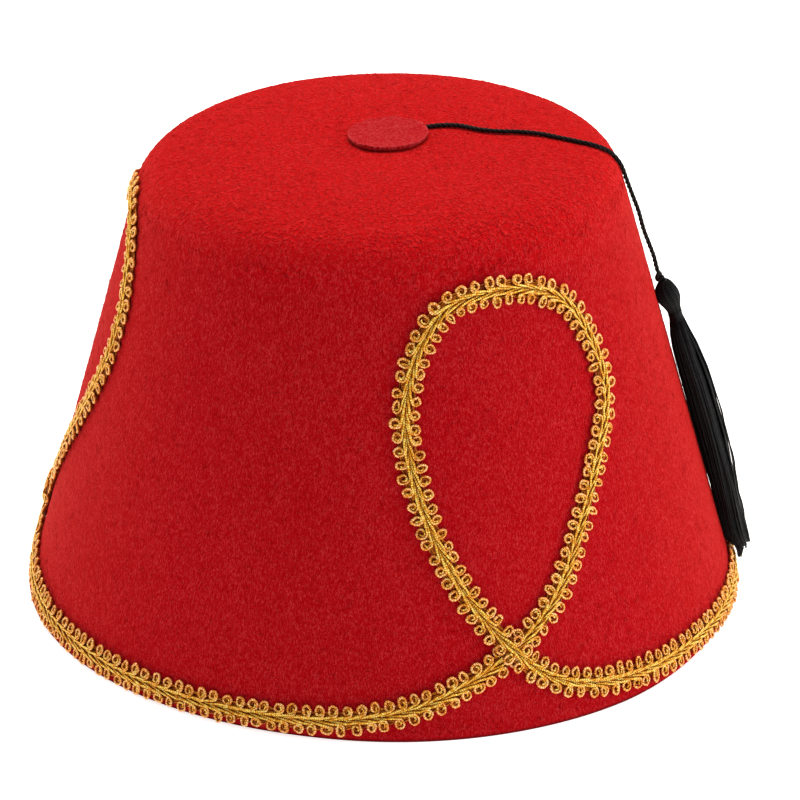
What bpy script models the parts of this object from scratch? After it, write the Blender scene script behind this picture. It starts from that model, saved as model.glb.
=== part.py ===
"""A red felt fez: one moulded felt crown, a gold gimp braid laid round the rim in three
loops, a felt button on top, and a black tassel on a cord that hangs over the crown's edge.

Units are metres, +Z is up, and the open rim stands on z = 0 with the hat's axis on the
Z axis. The foot of the front loop is on -Y. A turn about the axis is counted in degrees
from -Y towards +X. "Up" along the side is measured on the slope, from the rim's edge.
"""

import math

import bmesh
import bpy
from mathutils import Vector

MM = 0.001
SLOPE_STEP = 0.1 * MM           # over which the crown's slope is read
WELD = 0.01 * MM                # merges the points where a turned shape closes

# Crown: the side is a straight flare, the shoulder a round arc and the top a shallow dome
RIM_RADIUS = 97.5 * MM
TOP_RADIUS = 63.4 * MM          # where the line of the side would meet the top's edge line
CROWN_HEIGHT = 125.4 * MM       # height of that corner above the rim
SHOULDER_RADIUS = 12.7 * MM
TOP_EDGE_SLOPE = math.radians(12.3)     # of the top where it leaves the shoulder
TOP_POWER = 3.3                 # how long the dome stays flat before it falls to its edge
TOP_DIP = 1.2 * MM              # how far the middle of the top has sunk
FELT = 2.2 * MM
CROWN_STEPS = 60
SHOULDER_STEPS = 6
SIDE_STEPS = 4
TOP_ROWS = (0.0, 0.3, 0.55, 0.75, 0.9)  # rings of the top, as shares of its edge's radius

# The crown leans a little: its top is moved over and tipped, and the rim stays level
LEAN_TURN = 63.0                # the way the top is higher, degrees
LEAN_TILT = 1.94                # tip of the top's plane, degrees
LEAN_SHIFT = 2.5 * MM           # how far the top has moved away from its higher side

# Gold braid: a flat woven band, thin at its two edges and proud along its middle
BRAID_WIDTH = 8.3 * MM
BRAID_EDGE = 1.2 * MM           # thickness along the rows of edge rings
BRAID_VALLEY = 0.9 * MM         # thickness between the rings and the middle vine
BRAID_VINE = 1.7 * MM           # thickness along the middle vine
BRAID_CLEARANCE = 0.45 * MM     # from the felt, more than 0.3 mm because the side is round
BRAID_STEP = 5.2 * MM           # length of one facet along the band
RING_LINE = 0.86                # where the edge rings are proud, as a share of the half width
VALLEY_LINE = 0.36              # where the band is thin beside the vine
CURVE_PARTS = 12                # samples between two points of a route
LOOPS = 3

# One third of the braid's line, from midway between two loops, up one leg, over the
# loop's top, down the other leg and on to midway to the next loop.
# turn: degrees past the loop's foot; up: mm from the rim to the band's middle line
BRAID_ROUTE = (
    # turn, up
    (-60.0, 4.35),
    (-44.0, 4.45),
    (-29.0, 5.4),
    (-17.5, 8.6),
    (-8.5, 14.2),
    (0.0, 21.4),
    (8.7, 33.0),
    (15.7, 49.0),
    (21.8, 63.5),
    (27.4, 77.0),
    (28.6, 86.0),
    (26.8, 96.5),
    (22.0, 107.4),
    (13.6, 113.6),
    (3.4, 115.4),
    (-6.7, 113.2),
    (-13.1, 104.0),
    (-16.4, 91.0),
    (-16.5, 77.5),
    (-14.5, 63.0),
    (-11.4, 50.0),
    (-6.4, 35.0),
    (0.0, 21.4),
    (6.0, 12.6),
    (14.0, 7.9),
    (26.0, 5.7),
    (43.0, 4.7),
)
FOOT_OVER = 22                  # row of BRAID_ROUTE that passes over the loop's foot
TALL_LOOP = 2                   # the loop on the hat's left, which reaches onto the shoulder
TALL_LOOP_ROWS = (
    # row of BRAID_ROUTE, its turn and up in the tall loop
    (6, 6.8, 33.0),
    (7, 14.9, 49.0),
    (9, 26.7, 77.0),
    (10, 28.7, 86.5),
    (11, 28.6, 99.0),
    (12, 24.0, 113.6),
    (13, 14.6, 122.6),
    (14, 3.4, 119.8),
    (15, -6.9, 115.2),
    (16, -14.0, 105.8),
    (17, -17.2, 92.5),
    (18, -17.0, 78.3),
)
OVER_LIFT = 2.3 * MM            # rise of the upper strand over the lower one
OVER_FLAT = 5.5 * MM            # half of the length that stays at its full rise
OVER_RAMP = 5.5 * MM            # length of the slope down on either side

# Felt button, a little off the middle of the top as on the real hat
BUTTON_RADIUS = 10.9 * MM
BUTTON_THICK = 2.0 * MM
BUTTON_EDGE_ROUND = 0.5 * MM
BUTTON_CROWNING = 0.15 * MM     # how much lower its upper face is at the edge
BUTTON_LIFT = 0.4 * MM          # of its underside from the felt, a little more than the gap
BUTTON_OFFSET = 3.5 * MM        # from the middle of the top
BUTTON_OFFSET_TURN = 107.0      # degrees
BUTTON_SIDES = 28

# Cord and tassel. The cord leaves a channel under the button, bends towards the shoulder
# and hangs down the side
CORD_DIAMETER = 1.3 * MM
CORD_STEP = 3.6 * MM
CORD_IN_BUTTON = 5.0 * MM       # how far the cord's end reaches inside the button's edge
CORD_EXIT_TURN = 95.0           # the way it leaves the button, degrees
CORD_LEVEL = 0.62 * MM          # of its middle line over the button's underside
CHANNEL_ROOM = 0.46 * MM        # round the cord's end
# Where the cord runs: its turn, its distance along the crown's outer line from the rim,
# and how far its middle line stands off the felt, in degrees and mm
CORD_ROUTE = (
    # turn, up, off
    (94.5, 173.9, 1.02),
    (89.4, 170.2, 1.05),
    (84.5, 167.8, 1.05),
    (79.8, 165.8, 1.05),
    (75.9, 163.2, 1.05),
    (73.3, 159.3, 1.05),
    (72.6, 155.2, 1.05),
    (71.8, 151.2, 1.05),
    (70.4, 147.1, 1.05),
    (68.7, 143.1, 1.05),
    (67.8, 139.1, 1.05),
    (67.3, 135.1, 1.05),
    (67.8, 132.1, 1.05),
    (68.9, 129.1, 1.05),
    (69.2, 126.1, 1.05),
    (69.3, 123.4, 1.08),
    (69.4, 119.6, 1.20),
    (69.5, 115.2, 1.35),
    (69.5, 110.4, 1.65),
    (69.5, 105.2, 1.62),
    (69.5, 100.6, 2.00),
    (69.5, 96.8, 2.30),
    (69.5, 92.2, 2.25),
)

HANG_TURN = 69.5                # of the knot and the tassel, degrees
KNOT_LENGTH = 2.6 * MM
KNOT_RADIUS = 1.25 * MM
KNOT_UP = 90.6 * MM
KNOT_OFF = 2.3 * MM

# Tassel: a turned head and wound neck, and a skirt of locks
TASSEL_TOP_UP = 89.0 * MM       # where the head's top lies, along the slope
TASSEL_TOP_OFF = 3.3 * MM
TASSEL_NECK_UP = 77.6 * MM      # where the neck ends
TASSEL_NECK_OFF = 3.85 * MM
# Head and neck from the top down, along the line between those two places
HEAD_PROFILE = (
    # share of the way down, radius in mm
    (0.00, 1.0),
    (0.04, 1.9),
    (0.16, 2.5),
    (0.30, 3.0),
    (0.41, 3.1),
    (0.52, 2.8),
    (0.64, 2.3),
    (0.72, 1.9),
    (0.77, 2.05),
    (0.82, 1.9),
    (0.87, 2.05),
    (0.92, 1.9),
    (0.97, 2.0),
    (1.00, 1.8),
)
HEAD_SIDES = 14

# Envelope of the skirt: where its wall side and its outer side are, and its half width
# round the hat, at distances up the slope
SKIRT_ROUTE = (
    # up, wall side, outer side, half width, all mm
    (78.6, 2.0, 5.7, 1.7),
    (74.5, 1.2, 6.4, 2.5),
    (67.0, 0.7, 7.7, 3.7),
    (58.0, 0.5, 8.5, 4.4),
    (47.0, 0.5, 8.9, 4.9),
    (35.0, 0.5, 8.6, 5.0),
    (23.0, 0.6, 7.8, 4.6),
    (14.5, 1.1, 7.4, 4.0),
    (9.8, 2.2, 7.0, 3.4),
    (4.0, 2.5, 4.6, 2.2),
)
SKIRT_LOCKS = 9
LOCK_SIDES = 6
LOCK_FULLNESS = 1.28            # lock radius over the radius at which neighbours touch
LOCK_STATIONS = 8
# Where each lock ends above the rim, from the wall side round, in mm
LOCK_ENDS = (10.6, 9.9, 6.2, 4.7, 8.9, 10.6, 5.6, 6.9, 10.1)
CORE_ROWS = (79.8, 70.0, 58.0, 44.0, 28.0, 14.0)    # up the slope, mm
CORE_SIDES = 8
CORE_SHARE = 0.80               # of the envelope that the strands inside the locks fill

FELT_RED = (0.52, 0.012, 0.016, 1.0)
BUTTON_RED = (0.46, 0.020, 0.030, 1.0)
BRAID_GOLD = (0.72, 0.40, 0.07, 1.0)
TASSEL_BLACK = (0.008, 0.008, 0.009, 1.0)


# ---------------------------------------------------------------- scene and materials

def clear_scene():
    for item in list(bpy.data.objects):
        bpy.data.objects.remove(item, do_unlink=True)


def new_collection(name):
    collection = bpy.data.collections.new(name)
    bpy.context.scene.collection.children.link(collection)
    return collection


def material(name, colour, roughness, metallic=0.0):
    made = bpy.data.materials.new(name)
    made.use_nodes = True
    shader = made.node_tree.nodes["Principled BSDF"]
    shader.inputs["Base Color"].default_value = colour
    shader.inputs["Roughness"].default_value = roughness
    shader.inputs["Metallic"].default_value = metallic
    return made


def add_mesh_object(name, mesh, collection, finish=None):
    item = bpy.data.objects.new(name, mesh)
    collection.objects.link(item)
    if finish is not None:
        mesh.materials.append(finish)
    return item


def mesh_from(name, points, faces):
    mesh = bpy.data.meshes.new(name)
    mesh.from_pydata([tuple(point) for point in points], [], faces)
    mesh.update()
    return mesh


def baked(item):
    """Replace an object by the mesh that its modifiers make, in world space."""
    depsgraph = bpy.context.evaluated_depsgraph_get()
    mesh = bpy.data.meshes.new_from_object(item.evaluated_get(depsgraph))
    mesh.transform(item.matrix_world)
    name = item.name
    collection = item.users_collection[0]
    bpy.data.objects.remove(item, do_unlink=True)
    fresh = bpy.data.objects.new(name, mesh)
    collection.objects.link(fresh)
    return fresh


def shade_round(item, angle=35.0):
    item.data.shade_smooth()
    item.data.set_sharp_from_angle(angle=math.radians(angle))


def turned(name, line, steps, collection):
    """Turn a profile of (radius, height) about the Z axis."""
    mesh = bpy.data.meshes.new(name)
    mesh.from_pydata([(radius, 0.0, height) for radius, height in line],
                     [(index, index + 1) for index in range(len(line) - 1)], [])
    item = add_mesh_object(name, mesh, collection)
    screw = item.modifiers.new("turn", "SCREW")
    screw.axis = "Z"
    screw.angle = math.tau
    screw.steps = steps
    screw.render_steps = steps
    screw.use_merge_vertices = True
    screw.merge_threshold = WELD
    return item


# ---------------------------------------------------------------- the crown's surface

SIDE_ANGLE = math.atan2(RIM_RADIUS - TOP_RADIUS, CROWN_HEIGHT)      # flare from upright
SHOULDER_SWEEP = math.pi / 2 - SIDE_ANGLE - TOP_EDGE_SLOPE
SHOULDER_LENGTH = SHOULDER_RADIUS * SHOULDER_SWEEP
CORNER_TANGENT = SHOULDER_RADIUS * math.tan(SHOULDER_SWEEP / 2)
SIDE_LENGTH = math.hypot(RIM_RADIUS - TOP_RADIUS, CROWN_HEIGHT) - CORNER_TANGENT
TOP_EDGE_RADIUS = TOP_RADIUS - CORNER_TANGENT * math.cos(TOP_EDGE_SLOPE)
TOP_EDGE_HEIGHT = CROWN_HEIGHT + CORNER_TANGENT * math.sin(TOP_EDGE_SLOPE)
TOP_RISE = math.tan(TOP_EDGE_SLOPE) * TOP_EDGE_RADIUS / TOP_POWER   # meets that slope


def turn_direction(turn):
    """The level direction away from the axis at a turn in degrees."""
    angle = math.radians(turn)
    return Vector((math.sin(angle), -math.cos(angle), 0.0))


def top_height(radius):
    """Height of the dome, with its shallow dip in the middle."""
    share = radius / TOP_EDGE_RADIUS
    dome = TOP_RISE * (1.0 - share ** TOP_POWER)
    return TOP_EDGE_HEIGHT + dome - TOP_DIP * (1.0 - share ** 2) ** 2


def outer_line(up):
    """(radius, height) on the crown's outer line, at a distance from the rim along it."""
    if up <= SIDE_LENGTH:
        return (RIM_RADIUS - up * math.sin(SIDE_ANGLE), up * math.cos(SIDE_ANGLE))
    if up <= SIDE_LENGTH + SHOULDER_LENGTH:
        angle = SIDE_ANGLE + (up - SIDE_LENGTH) / SHOULDER_RADIUS
        centre_radius = TOP_EDGE_RADIUS - SHOULDER_RADIUS * math.sin(TOP_EDGE_SLOPE)
        centre_height = TOP_EDGE_HEIGHT - SHOULDER_RADIUS * math.cos(TOP_EDGE_SLOPE)
        return (centre_radius + SHOULDER_RADIUS * math.cos(angle),
                centre_height + SHOULDER_RADIUS * math.sin(angle))
    radius = max(TOP_EDGE_RADIUS - (up - SIDE_LENGTH - SHOULDER_LENGTH), 0.0)
    return (radius, top_height(radius))


def lean(point):
    """Tip and shift the top, growing from nothing at the rim."""
    share = point.z / CROWN_HEIGHT
    towards = turn_direction(LEAN_TURN)
    rise = math.tan(math.radians(LEAN_TILT)) * point.dot(towards)
    return point - towards * (LEAN_SHIFT * share) + Vector((0.0, 0.0, rise * share))


def on_crown(turn, up, off=0.0):
    """A place `off` the outer surface, at a turn in degrees and a distance up the line."""
    radius, height = outer_line(up)
    radius_after, height_after = outer_line(up + SLOPE_STEP)
    inward = radius - radius_after
    rise = height_after - height
    step = math.hypot(inward, rise)
    radius += off * rise / step
    height += off * inward / step
    return lean(turn_direction(turn) * radius + Vector((0.0, 0.0, height)))


def make_crown(collection):
    """Turn the outer line about the axis, give it the felt's thickness, then lean it."""
    line = [(TOP_EDGE_RADIUS * share, top_height(TOP_EDGE_RADIUS * share)) for share in TOP_ROWS]
    for step in range(SHOULDER_STEPS + 1):
        up = SIDE_LENGTH + SHOULDER_LENGTH * (1.0 - step / SHOULDER_STEPS)
        line.append(outer_line(up))
    for step in range(1, SIDE_STEPS + 1):
        line.append(outer_line(SIDE_LENGTH * (1.0 - step / SIDE_STEPS)))
    item = turned("crown", line, CROWN_STEPS, collection)
    wall = item.modifiers.new("felt", "SOLIDIFY")
    wall.thickness = FELT
    wall.offset = -1.0
    wall.use_even_offset = True

    item = baked(item)
    for vertex in item.data.vertices:
        vertex.co = lean(vertex.co)
        if abs(vertex.co.z) < FELT:
            vertex.co.z = 0.0
    item.data.materials.append(material("red_felt", FELT_RED, 0.95))
    shade_round(item)
    return item


# ---------------------------------------------------------------- braid

def smooth_step(share):
    share = min(max(share, 0.0), 1.0)
    return share * share * (3.0 - 2.0 * share)


def catmull_rom(before, start, end, after, share):
    """A point on the smooth line between start and end."""
    return 0.5 * (2.0 * start + (end - before) * share
                  + (2.0 * before - 5.0 * start + 4.0 * end - after) * share ** 2
                  + (3.0 * start - before - 3.0 * end + after) * share ** 3)


def braid_knots():
    """The whole closed line of the braid as (turn, up) rows, one loop after another."""
    taller = {row: (turn, up) for row, turn, up in TALL_LOOP_ROWS}
    knots = []
    for loop in range(LOOPS):
        for row, (turn, up) in enumerate(BRAID_ROUTE):
            if loop == TALL_LOOP:
                turn, up = taller.get(row, (turn, up))
            knots.append(Vector((turn + loop * 360.0 / LOOPS, up * MM)))
    return knots


def braid_line():
    """Dense (turn, up, knot position) samples round the whole braid."""
    knots = braid_knots()
    count = len(knots)
    full_turn = Vector((360.0, 0.0))

    def knot(index):
        return knots[index % count] + full_turn * (index // count)

    samples = []
    for index in range(count):
        for part in range(CURVE_PARTS):
            share = part / CURVE_PARTS
            place = catmull_rom(knot(index - 1), knot(index), knot(index + 1), knot(index + 2), share)
            samples.append((place.x, place.y, index + share))
    return samples


def evenly_spaced(samples, step):
    """Resample a closed line of (turn, up, knot) at even distances on the crown."""
    places = [on_crown(turn, up) for turn, up, _ in samples]
    count = len(samples)
    reach = [0.0]
    for index in range(count):
        reach.append(reach[-1] + (places[(index + 1) % count] - places[index]).length)
    total = reach[-1]
    pieces = round(total / step)
    spaced = []
    index = 0
    for piece in range(pieces):
        distance = total * piece / pieces
        while reach[index + 1] <= distance:
            index += 1
        share = (distance - reach[index]) / (reach[index + 1] - reach[index])
        here = samples[index]
        after = samples[index + 1] if index + 1 < count else (samples[0][0] + 360.0,
                                                              samples[0][1], len(braid_knots()))
        spaced.append(tuple(here[axis] + (after[axis] - here[axis]) * share for axis in range(3))
                      + (distance,))
    return spaced


def over_rise(distance, feet):
    """Lift of the band where it passes over its own lower strand."""
    nearest = min(abs(distance - foot) for foot in feet)
    return OVER_LIFT * smooth_step((OVER_FLAT + OVER_RAMP - nearest) / OVER_RAMP)


def braid_section():
    """Points of the band's cross-section: (across, above the felt side)."""
    half = BRAID_WIDTH / 2
    return (
        (-half, 0.0),
        (half, 0.0),
        (half * RING_LINE, BRAID_EDGE),
        (half * VALLEY_LINE, BRAID_VALLEY),
        (0.0, BRAID_VINE),
        (-half * VALLEY_LINE, BRAID_VALLEY),
        (-half * RING_LINE, BRAID_EDGE),
    )


def make_braid(collection):
    """Sweep the band's section round its closed line, flat side to the felt."""
    stations = evenly_spaced(braid_line(), BRAID_STEP)
    feet = []
    for loop in range(LOOPS):
        wanted = FOOT_OVER + loop * len(BRAID_ROUTE)
        feet.append(min(stations, key=lambda row: abs(row[2] - wanted))[3])
    centres = [on_crown(turn, up, BRAID_CLEARANCE + over_rise(distance, feet))
               for turn, up, _, distance in stations]
    section = braid_section()
    corners = len(section)
    count = len(stations)
    points = []
    faces = []
    for index, (turn, up, _, _) in enumerate(stations):
        following = (index + 1) % count
        along = (centres[following] - centres[index - 1]).normalized()
        outward = (on_crown(turn, up, MM) - on_crown(turn, up)).normalized()
        across = along.cross(outward).normalized()
        outward = across.cross(along).normalized()
        points += [centres[index] + across * aside + outward * above for aside, above in section]
        for corner in range(corners):
            beside = (corner + 1) % corners
            faces.append((index * corners + corner, following * corners + corner,
                          following * corners + beside, index * corners + beside))
    item = add_mesh_object("braid", mesh_from("braid", points, faces), collection,
                           material("gold_braid", BRAID_GOLD, 0.35, 0.9))
    shade_round(item, 50.0)
    return item


# ---------------------------------------------------------------- button

def top_place(offset, turn):
    """A place on the crown's top, at an offset from its middle."""
    return lean(turn_direction(turn) * offset + Vector((0.0, 0.0, top_height(offset))))


def button_frame():
    """Middle of the button's underside, the upright of the top there, and the cord's way out."""
    middle = top_place(BUTTON_OFFSET, BUTTON_OFFSET_TURN)
    outward = top_place(BUTTON_OFFSET + SLOPE_STEP, BUTTON_OFFSET_TURN) - middle
    sideways = turn_direction(BUTTON_OFFSET_TURN + 90.0)
    sideways = lean(middle + sideways * SLOPE_STEP) - lean(middle)
    upright = outward.cross(sideways).normalized()
    ahead = turn_direction(CORD_EXIT_TURN)
    ahead = (ahead - upright * ahead.dot(upright)).normalized()
    return middle + upright * BUTTON_LIFT, upright, ahead


def channel_cutter(cutters):
    """A box from behind the cord's end to beyond the button's edge."""
    base, upright, ahead = button_frame()
    aside = upright.cross(ahead)
    start = BUTTON_RADIUS - CORD_IN_BUTTON - CHANNEL_ROOM
    half_width = CORD_DIAMETER / 2 + CHANNEL_ROOM
    shape = bmesh.new()
    corners = []
    for along in (start, BUTTON_RADIUS * 1.5):
        for across in (-half_width, half_width):
            for above in (-BUTTON_THICK, CORD_LEVEL + half_width):
                spot = base + ahead * along + aside * across + upright * above
                corners.append(shape.verts.new(spot))
    bmesh.ops.convex_hull(shape, input=corners)
    bmesh.ops.recalc_face_normals(shape, faces=shape.faces)
    mesh = bpy.data.meshes.new("cord_channel")
    shape.to_mesh(mesh)
    shape.free()
    cutter = add_mesh_object("cord_channel", mesh, cutters)
    cutter.hide_render = True
    cutter.display_type = "WIRE"
    return cutter


def make_button(collection, cutters):
    """A turned disc with rounded edges, cut by the channel that takes the cord's end."""
    edge = BUTTON_THICK - BUTTON_CROWNING
    line = [
        (0.0, BUTTON_THICK),
        (BUTTON_RADIUS * 0.6, BUTTON_THICK - BUTTON_CROWNING * 0.3),
        (BUTTON_RADIUS - BUTTON_EDGE_ROUND, edge),
        (BUTTON_RADIUS, edge - BUTTON_EDGE_ROUND),
        (BUTTON_RADIUS, BUTTON_EDGE_ROUND),
        (BUTTON_RADIUS - BUTTON_EDGE_ROUND, 0.0),
        (0.0, 0.0),
    ]
    item = turned("button", line, BUTTON_SIDES, collection)
    base, upright, _ = button_frame()
    item.rotation_mode = "QUATERNION"
    item.rotation_quaternion = Vector((0.0, 0.0, 1.0)).rotation_difference(upright)
    item.location = base
    bpy.context.view_layer.update()
    item = baked(item)

    cut = item.modifiers.new("channel", "BOOLEAN")
    cut.operation = "DIFFERENCE"
    cut.solver = "EXACT"
    cut.object = channel_cutter(cutters)
    item.data.materials.append(material("button_felt", BUTTON_RED, 0.95))
    shade_round(item)
    return item


# ---------------------------------------------------------------- cord and knot

def smooth_points(knots, step):
    """Evenly spaced points on the smooth curve through open knots."""
    rows = [knots[0] * 2.0 - knots[1]] + list(knots) + [knots[-1] * 2.0 - knots[-2]]
    dense = []
    for index in range(1, len(rows) - 2):
        for part in range(CURVE_PARTS):
            dense.append(catmull_rom(rows[index - 1], rows[index], rows[index + 1],
                                     rows[index + 2], part / CURVE_PARTS))
    dense.append(knots[-1])
    reach = [0.0]
    for index in range(len(dense) - 1):
        reach.append(reach[-1] + (dense[index + 1] - dense[index]).length)
    pieces = max(round(reach[-1] / step), 1)
    spaced = []
    index = 0
    for piece in range(pieces + 1):
        distance = reach[-1] * piece / pieces
        while index < len(dense) - 2 and reach[index + 1] < distance:
            index += 1
        share = (distance - reach[index]) / (reach[index + 1] - reach[index])
        spaced.append(dense[index].lerp(dense[index + 1], min(share, 1.0)))
    return spaced


def cord_knots():
    """Route of the cord's middle line, from inside the button to the tassel's knot."""
    base, upright, ahead = button_frame()
    knots = [base + upright * CORD_LEVEL + ahead * reach
             for reach in (BUTTON_RADIUS - CORD_IN_BUTTON, BUTTON_RADIUS)]
    knots += [on_crown(turn, up * MM, off * MM) for turn, up, off in CORD_ROUTE]
    return knots


def make_cord(collection):
    points = smooth_points(cord_knots(), CORD_STEP)
    curve = bpy.data.curves.new("cord", "CURVE")
    curve.dimensions = "3D"
    curve.bevel_depth = CORD_DIAMETER / 2
    curve.bevel_resolution = 2
    curve.use_fill_caps = True
    spline = curve.splines.new("POLY")
    spline.points.add(len(points) - 1)
    for spot, point in zip(spline.points, points):
        spot.co = (point.x, point.y, point.z, 1.0)
    item = bpy.data.objects.new("cord", curve)
    collection.objects.link(item)
    curve.materials.append(material("black_cord", TASSEL_BLACK, 0.6))
    return item


def make_knot(collection):
    """A small round knot, a little longer than it is wide, on the tassel's line."""
    shape = bmesh.new()
    bmesh.ops.create_uvsphere(shape, u_segments=10, v_segments=7, radius=KNOT_RADIUS)
    bmesh.ops.scale(shape, verts=shape.verts, vec=(1.0, 1.0, KNOT_LENGTH / 2 / KNOT_RADIUS))
    mesh = bpy.data.meshes.new("cord_knot")
    shape.to_mesh(mesh)
    shape.free()
    item = add_mesh_object("cord_knot", mesh, collection,
                           material("knot_black", TASSEL_BLACK, 0.6))
    downward = on_crown(HANG_TURN, TASSEL_NECK_UP) - on_crown(HANG_TURN, TASSEL_TOP_UP)
    item.rotation_mode = "QUATERNION"
    item.rotation_quaternion = Vector((0.0, 0.0, -1.0)).rotation_difference(downward)
    item.location = on_crown(HANG_TURN, KNOT_UP, KNOT_OFF)
    item.data.shade_smooth()
    return item


# ---------------------------------------------------------------- tassel

def ring_faces(rings, sides):
    """Faces that join rings of points, with a cap on the first and last ring."""
    faces = [tuple(reversed(range(sides)))]
    for ring in range(rings - 1):
        for side in range(sides):
            beside = (side + 1) % sides
            faces.append((ring * sides + side, ring * sides + beside,
                          (ring + 1) * sides + beside, (ring + 1) * sides + side))
    faces.append(tuple(range((rings - 1) * sides, rings * sides)))
    return faces


def tube(name, centres, radii, sides, collection):
    """A closed tapered tube through the centres."""
    points = []
    for index, centre in enumerate(centres):
        before = centres[max(index - 1, 0)]
        after = centres[min(index + 1, len(centres) - 1)]
        along = (after - before).normalized()
        aside = along.cross(Vector((0.0, 1.0, 0.3))).normalized()
        over = aside.cross(along).normalized()
        for side in range(sides):
            angle = math.tau * side / sides
            points.append(centre + (aside * math.cos(angle) + over * math.sin(angle)) * radii[index])
    mesh = mesh_from(name, points, ring_faces(len(centres), sides))
    shape = bmesh.new()
    shape.from_mesh(mesh)
    bmesh.ops.recalc_face_normals(shape, faces=shape.faces)
    shape.to_mesh(mesh)
    shape.free()
    return add_mesh_object(name, mesh, collection)


def table_row(table, up):
    """A row of a table at a distance up the slope, by straight lines between its rows."""
    for upper, lower in zip(table, table[1:]):
        if up >= lower[0] or lower is table[-1]:
            share = min(max((upper[0] - up) / (upper[0] - lower[0]), 0.0), 1.0)
            return [high + (low - high) * share for high, low in zip(upper, lower)]
    return list(table[-1])


def tangential(turn, up):
    """The level direction round the hat."""
    return (on_crown(turn + 0.5, up) - on_crown(turn - 0.5, up)).normalized()


def lock_tube(number, collection):
    """One lock of the skirt, following the envelope down to its own end."""
    angle = math.tau * number / SKIRT_LOCKS + math.pi
    start = SKIRT_ROUTE[0][0]
    end = LOCK_ENDS[number]
    centres = []
    radii = []
    for station in range(LOCK_STATIONS):
        up = start + (end - start) * station / (LOCK_STATIONS - 1)
        _, wall_side, outer_side, half_width = table_row(SKIRT_ROUTE, up)
        depth = (outer_side - wall_side) / 2
        ring = (depth + half_width) / 2
        radius = LOCK_FULLNESS * ring * math.sin(math.pi / SKIRT_LOCKS) / (
            1.0 + math.sin(math.pi / SKIRT_LOCKS))
        middle_off = (outer_side + wall_side) / 2 + (depth - radius) * math.cos(angle)
        aside = (half_width - radius) * math.sin(angle)
        spot = on_crown(HANG_TURN, up * MM, middle_off * MM)
        centres.append(spot + tangential(HANG_TURN, up * MM) * (aside * MM))
        radii.append(radius * MM)
    return tube(f"lock_{number}", centres, radii, LOCK_SIDES, collection)


def skirt_core(collection):
    """The strands inside the ring of locks."""
    centres = []
    radii = []
    for up in CORE_ROWS:
        _, wall_side, outer_side, half_width = table_row(SKIRT_ROUTE, up)
        centres.append(on_crown(HANG_TURN, up * MM, (outer_side + wall_side) / 2 * MM))
        radii.append(CORE_SHARE * min((outer_side - wall_side) / 2, half_width) * MM)
    return tube("core", centres, radii, CORE_SIDES, collection)


def head_tube(collection):
    """The head and the wound neck, as one tube of changing thickness."""
    top = on_crown(HANG_TURN, TASSEL_TOP_UP, TASSEL_TOP_OFF)
    neck = on_crown(HANG_TURN, TASSEL_NECK_UP, TASSEL_NECK_OFF)
    centres = [top.lerp(neck, along) for along, _ in HEAD_PROFILE]
    radii = [radius * MM for _, radius in HEAD_PROFILE]
    return tube("tassel", centres, radii, HEAD_SIDES, collection)


def make_tassel(collection, cutters):
    """Fuse the core and the locks to the head."""
    item = head_tube(collection)
    pieces = [skirt_core(cutters)]
    pieces += [lock_tube(number, cutters) for number in range(SKIRT_LOCKS)]
    for piece in pieces:
        piece.hide_render = True
        piece.display_type = "WIRE"
        join = item.modifiers.new(piece.name, "BOOLEAN")
        join.operation = "UNION"
        join.solver = "EXACT"
        join.object = piece
    item.data.materials.append(material("black_tassel", TASSEL_BLACK, 0.5))
    shade_round(item)
    return item


def main():
    clear_scene()
    parts = new_collection("fez_hat")
    cutters = new_collection("cutters")
    make_crown(parts)
    make_braid(parts)
    make_button(parts, cutters)
    make_cord(parts)
    make_knot(parts)
    make_tassel(parts, cutters)


main()
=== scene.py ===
"""The looks of a felt fez: napped red felt, wound gold gimp braid, a felt button, and a
black twisted cord with its tassel.

Units are metres and +Z is up. The open rim stands on z = 0 with the hat's axis on Z. A
turn about the axis is counted in degrees from -Y towards +X, "up" is a distance along the
crown's outer line from the rim, and "off" is a distance off the felt.
"""

from math import atan2, cos, hypot, pi, radians, sin, tan, tau

import bpy
import numpy as np
from mathutils import Matrix, Vector


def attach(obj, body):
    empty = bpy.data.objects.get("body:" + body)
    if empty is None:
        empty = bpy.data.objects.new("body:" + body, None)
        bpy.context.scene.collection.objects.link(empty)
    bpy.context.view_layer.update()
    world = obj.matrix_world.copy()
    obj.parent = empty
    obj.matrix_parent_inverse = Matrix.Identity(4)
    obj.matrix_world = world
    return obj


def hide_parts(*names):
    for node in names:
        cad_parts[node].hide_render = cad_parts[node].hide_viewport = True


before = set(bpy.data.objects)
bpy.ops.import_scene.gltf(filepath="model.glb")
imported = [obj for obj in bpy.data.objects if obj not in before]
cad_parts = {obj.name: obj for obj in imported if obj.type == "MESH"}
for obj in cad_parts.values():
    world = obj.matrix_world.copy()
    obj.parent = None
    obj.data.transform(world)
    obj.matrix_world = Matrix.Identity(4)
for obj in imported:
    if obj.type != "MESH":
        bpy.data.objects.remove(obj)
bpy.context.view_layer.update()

MM = 0.001
BODY = "root"
SLOPE_STEP = 0.1 * MM  # over which the crown's slope is read
UPWARD = np.array([0.0, 0.0, 1.0])
SEEDS = {"head": 53, "skirt": 41, "crown": 7, "nap": 67, "button": 23, "braid": 11}

# ---- sizes

# Crown, as the solid beneath has it
RIM_RADIUS = 97.5 * MM
TOP_RADIUS = 63.4 * MM
CROWN_HEIGHT = 125.4 * MM
SHOULDER_RADIUS = 12.7 * MM
TOP_EDGE_SLOPE = radians(12.3)
TOP_POWER = 3.3
TOP_DIP = 1.2 * MM
FELT = 2.2 * MM
LEAN_TURN = 63.0
LEAN_TILT = 1.94  # degrees
LEAN_SHIFT = 2.5 * MM
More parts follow.
